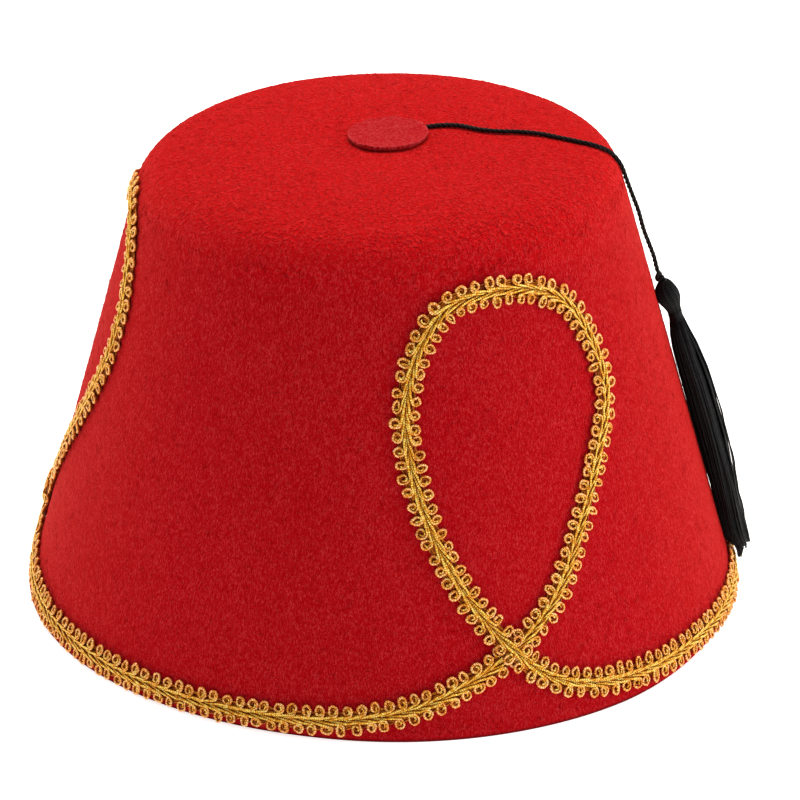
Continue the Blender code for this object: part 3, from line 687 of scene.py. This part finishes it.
# Where the strands end above the rim, by how far off the wall they hang
SKIRT_ENDS = (
    # share from the wall side (-1) to the outer side (1), up
    (-1.0, 9.9), (-0.7, 9.0), (-0.5, 6.0), (-0.3, 4.4), (0.0, 5.4), (0.3, 8.0), (0.6, 8.8),
    (1.0, 8.9),
)
SKIRT_STRANDS = 250
SKIRT_STRAYS = 16  # more, off the body on the wall side
SKIRT_BODY = 0.57  # how far off the wall the body reaches, of its whole depth
SKIRT_LOWEST = 3.9 * MM
SKIRT_CORE = 0.56  # of the skirt's narrower half width
SKIRT_CORE_UP = np.linspace(78.4, 15.0, 16) * MM
SKIRT_CORE_SIDES = 12
STRAND_RADIUS = 0.215 * MM
STRAND_STATIONS = 22
STRAND_SIDES = 6
STRAND_OFF_LEAST = 0.3 * MM


def read_off(table, up):
    """Values between the rows of a table, whose first column is up the slope."""
    return [np.interp(up, table[::-1, 0], column[::-1]) for column in table.T[1:]]


def along_head(up):
    """The head's middle line and radius at heights up the slope."""
    off, radius = read_off(HEAD_PROFILE, up)
    return on_crown(HANG_TURN, up, off), radius


def round_head(up, extra, angle):
    """Places round the head, `extra` outside it: angle 0 is away from the felt."""
    middle, radius = along_head(up)
    reach = radius + extra
    return (middle + HANG_OUTWARD * (reach * np.cos(angle))[..., None]
            + HANG_AROUND * (reach * np.sin(angle))[..., None])


def make_head(finish):
    """Yarns bent over the cord and bound by thread at the neck."""
    top, bottom = HEAD_PROFILE[0][0], HEAD_PROFILE[-1][0]
    run = np.linspace(0.0, 1.0, HEAD_STATIONS)
    middle, radius = along_head(top + (bottom - top) * run)
    groups = [tubes(middle[None], radius * HEAD_CORE, HEAD_SIDES, HANG_OUTWARD)]

    up = top + (HEAD_YARN_END - top) * run
    angle = tau * np.arange(HEAD_YARNS)[:, None] / HEAD_YARNS + HEAD_TWIST * run
    middle, radius = along_head(up)
    draw = np.random.default_rng(SEEDS["head"])
    uneven = draw.normal(0.0, 0.05, (HEAD_YARNS, 1)) * MM
    lines = round_head(np.broadcast_to(up, angle.shape), uneven, angle)
    thick = np.clip(radius * pi / HEAD_YARNS * HEAD_YARN_FULL, *HEAD_YARN_THICK)
    groups.append(tubes(lines, thick, STRAND_SIDES, unit(lines[:, 3] - middle[3])))

    stations = WINDING_TURNS * WINDING_PARTS
    up = np.linspace(WINDING_FROM, WINDING_TO, stations)
    angle = np.linspace(0.0, tau * WINDING_TURNS, stations)
    uneven = (0.05 * np.sin(3.0 * angle + 0.7) + 0.04 * np.sin(1.3 * angle)) * MM
    wound = round_head(up, uneven, angle)[None]
    groups.append(tubes(wound, WINDING_RADIUS, WINDING_SIDES, HANG_OUTWARD))
    return add_piece("tassel_head", groups, finish, "tassel")


def skirt_place(up, depth_share, side_share, wander_off=0.0, wander_side=0.0):
    """Places in the skirt's envelope, from -1 to 1 off the wall and from side to side."""
    wall_side, outer_side, half_width = read_off(SKIRT_ROUTE, up)
    off = (wall_side + outer_side) / 2 + depth_share * (outer_side - wall_side) / 2 + wander_off
    aside = side_share * half_width + wander_side
    return (on_crown(HANG_TURN, up, np.maximum(off, STRAND_OFF_LEAST))
            + HANG_AROUND * aside[..., None])


def make_skirt(finish):
    """Loose strands from under the windings, round a dense core."""
    draw = np.random.default_rng(SEEDS["skirt"])
    count = SKIRT_STRANDS + SKIRT_STRAYS
    angle = draw.uniform(0.0, tau, count)
    share = np.sqrt(draw.uniform(0.05, 0.98, count))
    stray = np.arange(count) >= SKIRT_STRANDS
    angle = np.where(stray, draw.normal(pi, 0.4, count), angle)
    share = np.where(stray, draw.uniform(0.62, 1.0, count), share)
    depth = -np.cos(angle) * share
    side = np.sin(angle) * share
    end = np.interp(depth, *np.array(SKIRT_ENDS).T) * MM + draw.normal(0.0, 0.9, count) * MM
    end = np.maximum(end, SKIRT_LOWEST)
    run = np.linspace(0.0, 1.0, STRAND_STATIONS) ** 0.85
    top = SKIRT_ROUTE[0][0]
    up = top + (end[:, None] - top) * run

    grown = run * (1.0 - 0.15 * run)
    waves = draw.uniform(0.7, 2.2, (2, count)) * np.where(stray, 3.0, 1.0)
    phases = draw.uniform(0.0, tau, (2, count))
    sizes = draw.uniform(0.05, 0.3, (2, count)) * np.where(stray, 1.6, 1.0) * MM
    wander = sizes[..., None] * grown * np.sin(tau * waves[..., None] * run
                                               + phases[..., None])
    drawn_in = np.where(stray | (depth < 0.0), 1.0, SKIRT_BODY)
    parted = smooth_step(run / 0.2) * smooth_step((0.85 - run) / 0.3)
    hung = depth[:, None] * (1.0 + (drawn_in[:, None] - 1.0) * parted)
    lines = skirt_place(up, hung, side[:, None], *wander)
    radii = STRAND_RADIUS * draw.uniform(0.85, 1.15, count)[:, None] * (
        0.7 + 0.3 * smooth_step(run / 0.25))
    strands = tubes(lines, radii, STRAND_SIDES, HANG_OUTWARD)

    wall_side, outer_side, half_width = read_off(SKIRT_ROUTE, SKIRT_CORE_UP)
    narrow = np.minimum((outer_side - wall_side) / 2, half_width)
    middle = skirt_place(SKIRT_CORE_UP, 0.0, 0.0)
    core = tubes(middle[None], narrow * SKIRT_CORE, SKIRT_CORE_SIDES, HANG_OUTWARD)
    return add_piece("tassel_skirt", [strands, core], finish, "tassel")


# ---- crown

RIM_ROUND = 0.5 * MM
CROWN_COLUMNS = 330
OUTER_ROWS = (40, 18, 92)  # on the top, the shoulder and the side
INNER_ROWS = (20, 8, 10)  # on the side, the shoulder and the top
MIDDLE_HOLE = 0.05 * MM  # radius of the end faces
SWELLS = 9  # long waves that leave the felt uneven
SWELL = 0.045 * MM
SWELL_CLIMB = 60.0  # radians per metre up the crown, at most
FELT_GRAIN = 0.035 * MM


def make_crown(finish):
    """The felt as one closed shell: outside, rounded rim and inside."""
    edge = rounded_edge(RIM_ROUND)
    rim = [(rise, -inward) for rise, inward in edge]
    rim += [(rise, inward - FELT) for inward, rise in edge]
    rim = [((rise - off * sin(SIDE_ANGLE)) / cos(SIDE_ANGLE), off) for rise, off in rim]
    centre = LINE_LENGTH - MIDDLE_HOLE
    down = (centre, TOP_BEGINS, SIDE_LENGTH, RIM_ROUND)
    climbing = (RIM_ROUND + FELT, SIDE_LENGTH, TOP_BEGINS, centre)
    outer = np.concatenate([np.linspace(*span)[:-1] for span in zip(down, down[1:], OUTER_ROWS)])
    inner = np.concatenate([np.linspace(*span)[1:]
                            for span in zip(climbing, climbing[1:], INNER_ROWS)])
    rows = [(up, 0.0) for up in outer] + rim + [(up, -FELT) for up in inner]
    up, off = np.array(rows).T
    turn = np.arange(CROWN_COLUMNS) * 360.0 / CROWN_COLUMNS

    draw = np.random.default_rng(SEEDS["crown"])
    swell = np.zeros((len(rows), CROWN_COLUMNS))
    for _ in range(SWELLS):
        waves = draw.integers(2, 9)
        climb = draw.uniform(-SWELL_CLIMB, SWELL_CLIMB)
        phase = draw.uniform(0.0, tau)
        swell += SWELL * np.sin(np.radians(turn) * waves + up[:, None] * climb + phase)
    fade = smooth_step((up - 3.0 * MM) / (8.0 * MM)) * smooth_step((centre - up) / (30.0 * MM))
    swell += draw.normal(0.0, FELT_GRAIN, swell.shape)
    swell *= (fade * (off > -FELT / 2))[:, None]
    points = on_crown(turn, up[:, None], off[:, None] + swell)
    shell = (points, ringed_faces(len(rows), CROWN_COLUMNS), None)
    add_piece("felt_crown", [shell], finish, "crown")


NAP_FIBRES = 7600
NAP_RADIUS = 0.055 * MM
NAP_LENGTH = (0.9 * MM, 2.3 * MM)
NAP_CURL = 1.1  # radians that a fibre turns, as a spread
NAP_LIFT = 0.13  # mm off the felt, as a spread
NAP_LOWEST = 1.5 * MM
NAP_STATIONS = 4
NAP_SIDES = 3


def make_nap(finish):
    """Loose fibres that lie curled on the felt."""
    draw = np.random.default_rng(SEEDS["nap"])
    side_area = (RIM_RADIUS + TOP_RADIUS) * SIDE_LENGTH
    on_side = draw.uniform(size=NAP_FIBRES) < side_area / (side_area + TOP_RADIUS ** 2)
    part = draw.uniform(size=NAP_FIBRES)
    grown = RIM_RADIUS - (RIM_RADIUS - TOP_RADIUS) * part
    side_up = (part + 0.5 * part * (1.0 - grown / RIM_RADIUS)) * SIDE_LENGTH
    top_up = LINE_LENGTH - np.sqrt(part) * (LINE_LENGTH - SIDE_LENGTH) * 0.98
    up = np.where(on_side, np.clip(side_up, 2.5 * MM, SIDE_LENGTH), top_up)
    turn = draw.uniform(0.0, 360.0, NAP_FIBRES)
    length = draw.uniform(*NAP_LENGTH, NAP_FIBRES)
    heading = draw.uniform(0.0, tau, NAP_FIBRES)
    curl = draw.normal(0.0, NAP_CURL, NAP_FIBRES)
    lift = np.abs(draw.normal(0.0, NAP_LIFT, NAP_FIBRES)) * MM + 0.03 * MM

    run = np.linspace(0.0, 1.0, NAP_STATIONS)
    way = heading[:, None] + curl[:, None] * run
    step = length[:, None] / (NAP_STATIONS - 1)
    along_turn = np.cumsum(np.cos(way) * step, axis=1)
    along_up = np.cumsum(np.sin(way) * step, axis=1)
    fibre_up = np.clip(up[:, None] + along_up, NAP_LOWEST, LINE_LENGTH - 0.5 * MM)
    radius = np.maximum(outer_line(fibre_up)[0], 2.0 * MM)
    fibre_turn = turn[:, None] + np.degrees(along_turn / radius)
    off = lift[:, None] * (1.0 - (1.0 - 2.0 * run) ** 2 * 0.75) + 0.02 * MM
    lines = on_crown(fibre_turn, fibre_up, off)
    fibres = tubes(lines, NAP_RADIUS * (1.0 - 0.45 * run), NAP_SIDES, UPWARD)
    add_piece("felt_nap", [fibres], finish, "crown")


# ---- button

BUTTON_TOP = 1.62 * MM  # of its upper face over the felt
BUTTON_UNDER = 0.42 * MM  # of its underside over the felt
BUTTON_ROUND = 0.32 * MM
BUTTON_COLUMNS = 144
BUTTON_WAVE = 0.05 * MM
BUTTON_GRAIN = 0.012 * MM
EDGE_RISE = 0.1 * MM  # of the upper face, close to the cut edge
CORD_HUMP = 0.38 * MM  # rise of the upper face over the cord's hidden end
CORD_TUNNEL = 1.05 * MM  # rise of the underside over the cord
CREASES = ((2.4 * MM, -0.09 * MM), (-2.6 * MM, -0.07 * MM))  # beside the hump: where, and rise
CREASE_WIDTH = 0.5 * MM


def make_button(finish):
    """The felt disc, raised over the cord's end."""
    inside = np.linspace(0.02, 1.0, 22)
    profile = [(share * (BUTTON_RADIUS - BUTTON_ROUND), BUTTON_TOP, 1.0) for share in inside]
    profile += [(BUTTON_RADIUS - inward, BUTTON_TOP - drop, 1.0)
                for inward, drop in rounded_edge(BUTTON_ROUND)[1:]]
    profile += [(BUTTON_RADIUS - 0.12 * MM, (BUTTON_TOP + BUTTON_UNDER) / 2, 0.6),
                (BUTTON_RADIUS - 0.3 * MM, BUTTON_UNDER + 0.12 * MM, 0.15)]
    profile += [(share * (BUTTON_RADIUS - 0.45 * MM), BUTTON_UNDER, 0.0) for share in inside[::-3]]
    reach, height, upper = np.array(profile).T[..., None]
    angle = np.arange(BUTTON_COLUMNS) * tau / BUTTON_COLUMNS

    draw = np.random.default_rng(SEEDS["button"])
    ragged = 1.0 + 0.004 * np.sin(2 * angle + 0.6) + 0.0025 * np.sin(5 * angle + 2.0)
    reach = reach * (ragged + draw.normal(0.0, 0.0004, BUTTON_COLUMNS))
    along = reach * np.cos(angle)
    across = reach * np.sin(angle)
    out = smooth_step((along - 1.0 * MM) / (7.0 * MM))
    upper_rise = CORD_HUMP * np.exp(-(across / (1.5 * MM)) ** 2) * out
    under_rise = CORD_TUNNEL * np.exp(-(across / (1.0 * MM)) ** 4) * out
    x, y = along / MM, across / MM
    upper_rise += BUTTON_WAVE * (np.sin(y * 1.1 + x * 0.5) + np.sin(x * 1.5 - y * 0.4 + 1.0)
                                 + np.sin(x * 4.6 + 1.4 * np.sin(y * 1.3) + 2.0))
    upper_rise += EDGE_RISE * smooth_step((reach / BUTTON_RADIUS - 0.9) / 0.06)
    for beside, rise in CREASES:
        upper_rise += rise * np.exp(-((across - beside) / CREASE_WIDTH) ** 2) * out
    inner_rows = (np.arange(len(profile)) < len(inside) - 1)[:, None]
    upper_rise += draw.normal(0.0, BUTTON_GRAIN, along.shape) * inner_rows
    above = height + upper * upper_rise + (1.0 - upper) * under_rise
    felt = BUTTON_BASE - BUTTON_UPRIGHT * BUTTON_LIFT
    aside = np.cross(BUTTON_UPRIGHT, BUTTON_AHEAD)
    points = (felt + BUTTON_AHEAD * along[..., None] + aside * across[..., None]
              + BUTTON_UPRIGHT * above[..., None])
    disc = (points, ringed_faces(len(profile), BUTTON_COLUMNS), None)
    add_piece("button_disc", [disc], finish, "button")


# ---- braid

class BraidLine:
    """The braid's middle line on the crown, by distance along it."""

    def __init__(self):
        taller = {row: place for row, *place in TALL_LOOP_ROWS}
        knots = []
        for loop in range(BRAID_LOOPS):
            for row, place in enumerate(BRAID_ROUTE):
                turn, up = taller.get(row, place) if loop == TALL_LOOP else place
                knots.append((turn + loop * 360.0 / BRAID_LOOPS, up * MM))
        knots = np.array(knots)
        count = len(knots)
        lap = np.array([360.0, 0.0])
        place = np.arange(count * BRAID_PARTS + 1) / BRAID_PARTS
        index = place.astype(int)
        near = (knots[(index + step) % count] + lap * ((index + step) // count)[:, None]
                for step in (-1, 0, 1, 2))
        self.turn, self.up = curve_between(*near, (place - index)[:, None]).T
        self.reach = reach_along(on_crown(self.turn, self.up))
        self.total = self.reach[-1]
        self.feet = self.reach[[(FOOT_OVER + loop * len(BRAID_ROUTE)) * BRAID_PARTS
                                for loop in range(BRAID_LOOPS)]]

    def at(self, distance):
        lap = np.floor(distance / self.total)
        within = distance - lap * self.total
        return (np.interp(within, self.reach, self.turn) + 360.0 * lap,
                np.interp(within, self.reach, self.up))

    def heading(self, distance):
        """Level and upward shares of the way along."""
        turn_before, up_before = self.at(distance - HEADING_STEP)
        turn_after, up_after = self.at(distance + HEADING_STEP)
        level = np.radians(turn_after - turn_before) * outer_line(self.at(distance)[1])[0]
        climb = up_after - up_before
        length = np.hypot(level, climb)
        return level / length, climb / length

    def rise(self, distance):
        """Lift of the upper strand where the braid crosses itself."""
        rise = 0.0
        for foot, lift in zip(self.feet, OVER_LIFTS):
            gap = np.abs((distance - foot + self.total / 2) % self.total - self.total / 2)
            rise = rise + lift * smooth_step((OVER_FLAT + OVER_RAMP - gap) / OVER_RAMP)
        return rise

    def place(self, distance, across, above, lifted):
        """Points beside and above the line. Across is positive on the travel's right."""
        turn, up = self.at(distance)
        level, climb = self.heading(distance)
        turn = turn + np.degrees(across * climb / outer_line(up)[0])
        up = up - across * level
        return on_crown(turn, np.maximum(up, 0.0), above + lifted * self.rise(distance))


RING_LEAD = (
    # pitches behind the ring, across, above the felt
    (-1.8, 0.12, 0.75), (-1.35, 0.3, 1.1), (-0.92, 0.52, 1.42), (-0.5, 0.82, 1.52),
)
RING_CURL = (
    # degrees round the ring from its inner side, radius share, above the felt
    (12.0, 0.98, 1.45), (50.0, 1.0, 1.26), (92.0, 1.01, 1.12), (135.0, 1.0, 1.04),
    (180.0, 1.0, 1.0), (225.0, 1.0, 1.02), (268.0, 0.97, 1.06), (308.0, 0.9, 1.1),
    (348.0, 0.72, 1.1), (400.0, 0.55, 1.06), (455.0, 0.46, 1.0), (520.0, 0.42, 0.92),
)
RING_UNEVEN = 0.085 * MM
LEAD_UNEVEN = 0.05 * MM
RING_LEAVES = 40.0  # degrees, up to which a place follows the vine
PAD_SHARE = 0.5  # of the ring's radius, where the thread coil inside it runs
PAD_ABOVE = 0.5  # mm
PAD_THICK = 0.4 * MM
PAD_STATIONS = 9
THREAD_SIDES = 5
LEAST_ABOVE = 0.03 * MM


class RingRow:
    """The rings on one side of the braid, with the chance differences between them."""

    def __init__(self, draw, side, count):
        self.count = count
        self.mirror = np.array([1.0, side, 1.0])
        self.radius = RING_RADIUS * draw.normal(1.0, 0.05, count)
        self.stretch = draw.normal(1.02, 0.08, count)
        self.turned = np.radians(draw.normal(0.0, 14.0, count))
        self.along = draw.normal(0.0, 0.15 * MM, count)
        self.across = RING_CENTRE + draw.normal(0.0, 0.1 * MM, count)
        self.peak = draw.uniform(0.0, 0.2, count)
        self.tilt = draw.normal(0.0, 0.12, count)

    def place(self, degrees, share, above):
        """One local place (along, across, above) on each ring."""
        angle = np.radians(degrees) + self.turned * (0.3 if degrees < RING_LEAVES else 1.0)
        reach = self.radius * share * (1.0 + self.peak * np.cos(2.0 * (angle - pi)))
        along = self.along + reach * np.sin(angle) / self.stretch
        across = self.across - reach * np.cos(angle) * self.stretch
        above = np.maximum(above * MM + self.tilt * along, 0.3 * MM)
        return np.stack([along, across, above], axis=-1)

    def yarns(self, draw):
        """Middle lines: along the vine, round the ring and in to a curl."""
        knots = []
        for behind, across, above in RING_LEAD:
            aside, lift = draw.normal(0.0, LEAD_UNEVEN, (2, self.count))
            knots.append(np.stack([np.full(self.count, behind * RING_PITCH),
                                   across * MM + aside, above * MM + lift], axis=-1))
        knots = np.stack(knots + [self.place(*row) for row in RING_CURL], axis=1)
        curl = knots[:, len(RING_LEAD):]
        curl += draw.normal(0.0, RING_UNEVEN, curl.shape)
        return smooth_lines(knots, YARN_STATIONS) * self.mirror

    def pads(self):
        """Low coils of dull thread that fill the rings."""
        coil = [self.place(degrees, PAD_SHARE, PAD_ABOVE)
                for degrees in np.linspace(0.0, 360.0, PAD_STATIONS)]
        return np.stack(coil, axis=1) * self.mirror


def strand_group(line, local, starts, radii, sides, lifted=1.0):
    """Tubes worked out beside the straightened braid, then laid on the crown."""
    points, faces, thread = tubes(local, radii, sides, UPWARD)
    distance = starts[:, None, None] + points[..., 0]
    above = np.maximum(points[..., 2], LEAST_ABOVE)
    return line.place(distance, points[..., 1], above, lifted), faces, thread


# Dull threads that run the whole length beneath the strands and rings
BRAID_THREADS = (
    # across, above, radius, waver across, waver up
    (0.0, 0.62, 0.45, 0.05, 0.05), (0.6, 0.5, 0.42, 0.06, 0.05),
    (1.15, 0.4, 0.34, 0.12, 0.06), (1.7, 0.38, 0.3, 0.2, 0.1),
    (2.15, 0.38, 0.27, 0.26, 0.12),
)
THREAD_STEP = 1.25 * MM
THREAD_UNEVEN = 0.03 * MM


def side_thread(line, draw, pitch, side, row, start, length, lifted):
    """One lengthwise thread of the ground, which wavers with the rings above it."""
    across, above, radius, waver, lift = (value * MM for value in row)
    run = np.arange(0.0, length + THREAD_STEP, THREAD_STEP)
    turn = run / pitch * tau + draw.uniform(0.0, tau)
    aside = side * (across + waver * np.sin(turn)) + draw.normal(0.0, THREAD_UNEVEN, len(run))
    local = np.stack([run, aside, above + lift * np.sin(turn * 1.5)], axis=-1)[None]
    return strand_group(line, local, np.array([start]), radius, THREAD_SIDES, lifted)


def make_braid(gold, core):
    """Three pieces of bright rings, and three of the dull ground beneath them."""
    line = BraidLine()
    draw = np.random.default_rng(SEEDS["braid"])
    count = int(round(line.total / RING_PITCH))
    pitch = line.total / count
    length = line.total / BRAID_LOOPS
    bright = [[] for _ in LOOP_NAMES]
    dull = [[] for _ in LOOP_NAMES]
    run = np.linspace(0.0, 1.0, YARN_STATIONS)
    # The yarn is fullest round the ring and thinner at its ends
    thick = YARN_RADIUS * (0.88 - 0.2 * smooth_step((0.1 - run) / 0.1)
                           + 0.12 * smooth_step((run - 0.25) / 0.2)
                           - 0.14 * smooth_step((run - 0.85) / 0.15))
    for side in (-1.0, 1.0):
        starts = (np.arange(count) + ROW_STAGGER * (side > 0)) * pitch
        starts = starts + draw.normal(0.0, 0.05 * pitch, count)
        row = RingRow(draw, side, count)
        yarns = row.yarns(draw)
        radii = thick * draw.normal(1.0, 0.05, (count, 1))
        radii = radii * draw.normal(1.0, 0.09, yarns.shape[:2])
        pads = row.pads()
        owner = np.minimum((starts % line.total) // length, BRAID_LOOPS - 1)
        for loop in range(BRAID_LOOPS):
            mine = owner == loop
            bright[loop].append(strand_group(line, yarns[mine], starts[mine], radii[mine],
                                             YARN_SIDES))
            dull[loop].append(strand_group(line, pads[mine], starts[mine], PAD_THICK,
                                           THREAD_SIDES, GROUND_LIFT))
    for loop, name in enumerate(LOOP_NAMES):
        whole = (loop * length, length, GROUND_LIFT)
        filling = (line.feet[loop] - FILL_REACH, 2.0 * FILL_REACH, 0.0)
        for row in BRAID_THREADS:
            for side in (-1.0, 1.0) if row[0] > 0.0 else (1.0,):
                dull[loop] += [side_thread(line, draw, pitch, side, row, *part)
                               for part in (whole, filling)]
        add_piece(f"braid_rings_{name}", bright[loop], gold, "braid")
        add_piece(f"braid_core_{name}", dull[loop], core, "braid")


# ---- floor and light

FLOOR_SIZE = 24.0
FLOOR_DROP = 0.02 * MM  # below the rim
WORLD_LIGHT = 0.34
AIM = (0.0, 0.0, 0.08)
LIGHTS = (
    # name, to the camera's right, towards the camera, up, width, height, power, colour
    ("overhead", 0.05, -0.42, 1.2, 1.1, 0.9, 17.4, (1.0, 0.98, 0.88)),
    ("right_box", 1.25, 0.1, 0.45, 0.7, 0.9, 8.0, (1.0, 1.0, 1.0)),
    ("left_box", -1.2, -0.6, 0.45, 0.7, 0.9, 5.9, (1.0, 1.0, 1.0)),
)


def make_floor():
    floor = Finish("floor_white")
    tone = floor.mix(floor.noise(3.0), (0.86,) * 3, (0.88,) * 3)
    white = floor.surface(Base_Color=tone, Roughness=0.9, Specular_IOR_Level=0.1,
                          Emission_Color=(1.0, 1.0, 1.0), Emission_Strength=0.75)
    bpy.ops.mesh.primitive_plane_add(size=FLOOR_SIZE, location=(0.0, 0.0, -FLOOR_DROP))
    plane = bpy.context.object
    plane.name = "floor"
    plane.data.materials.append(white)


def make_light():
    world = bpy.data.worlds.new("studio")
    world.use_nodes = True
    background = world.node_tree.nodes["Background"]
    background.inputs[0].default_value = (1.0, 1.0, 1.0, 1.0)
    background.inputs[1].default_value = WORLD_LIGHT
    bpy.context.scene.world = world
    right = Vector((cos(VIEW_AZIMUTH), sin(VIEW_AZIMUTH), 0.0))
    front = Vector((sin(VIEW_AZIMUTH), -cos(VIEW_AZIMUTH), 0.0))
    for name, to_right, to_front, up, width, height, power, colour in LIGHTS:
        data = bpy.data.lights.new(name, "AREA")
        data.shape = "RECTANGLE"
        data.size = width
        data.size_y = height
        data.energy = power
        data.color = colour
        lamp = linked(name, data)
        lamp.location = right * to_right + front * to_front + Vector((0.0, 0.0, up))
        lamp.rotation_euler = (Vector(AIM) - lamp.location).to_track_quat("-Z", "Y").to_euler()


# ---- the whole hat

make_camera()
cord_black = black_finish("cord_rayon", 0.55, 3.1, 0.5, (0.003, 0.002, 0.002),
                          (0.022, 0.017, 0.015))
strand_black = black_finish("tassel_rayon", 0.8, 2.0, 0.42, (0.0015, 0.0015, 0.002),
                            (0.01, 0.01, 0.011))
cord, cord_line = make_cord(cord_black)
knot = make_knot(cord_black)
head = make_head(strand_black)
skirt = make_skirt(strand_black)

red_felt = felt_finish("red_felt", (0.375, 0.0008, 0.0033), (0.45, 0.0064, 0.0105),
                       (0.52, 0.026, 0.029), (1.0, 0.13, 0.07), 1.0)
rose_felt = felt_finish("rose_felt", (0.28, 0.003, 0.007), (0.345, 0.0118, 0.0178),
                        (0.44, 0.049, 0.055), (1.0, 0.15, 0.1), 0.3,
                        edge=(tuple(BUTTON_BASE), BUTTON_RADIUS))
make_crown(red_felt)
make_nap(red_felt)
make_button(rose_felt)
make_braid(gold_finish(), core_finish())
make_floor()
make_light()
bpy.context.scene.view_settings.view_transform = "Standard"
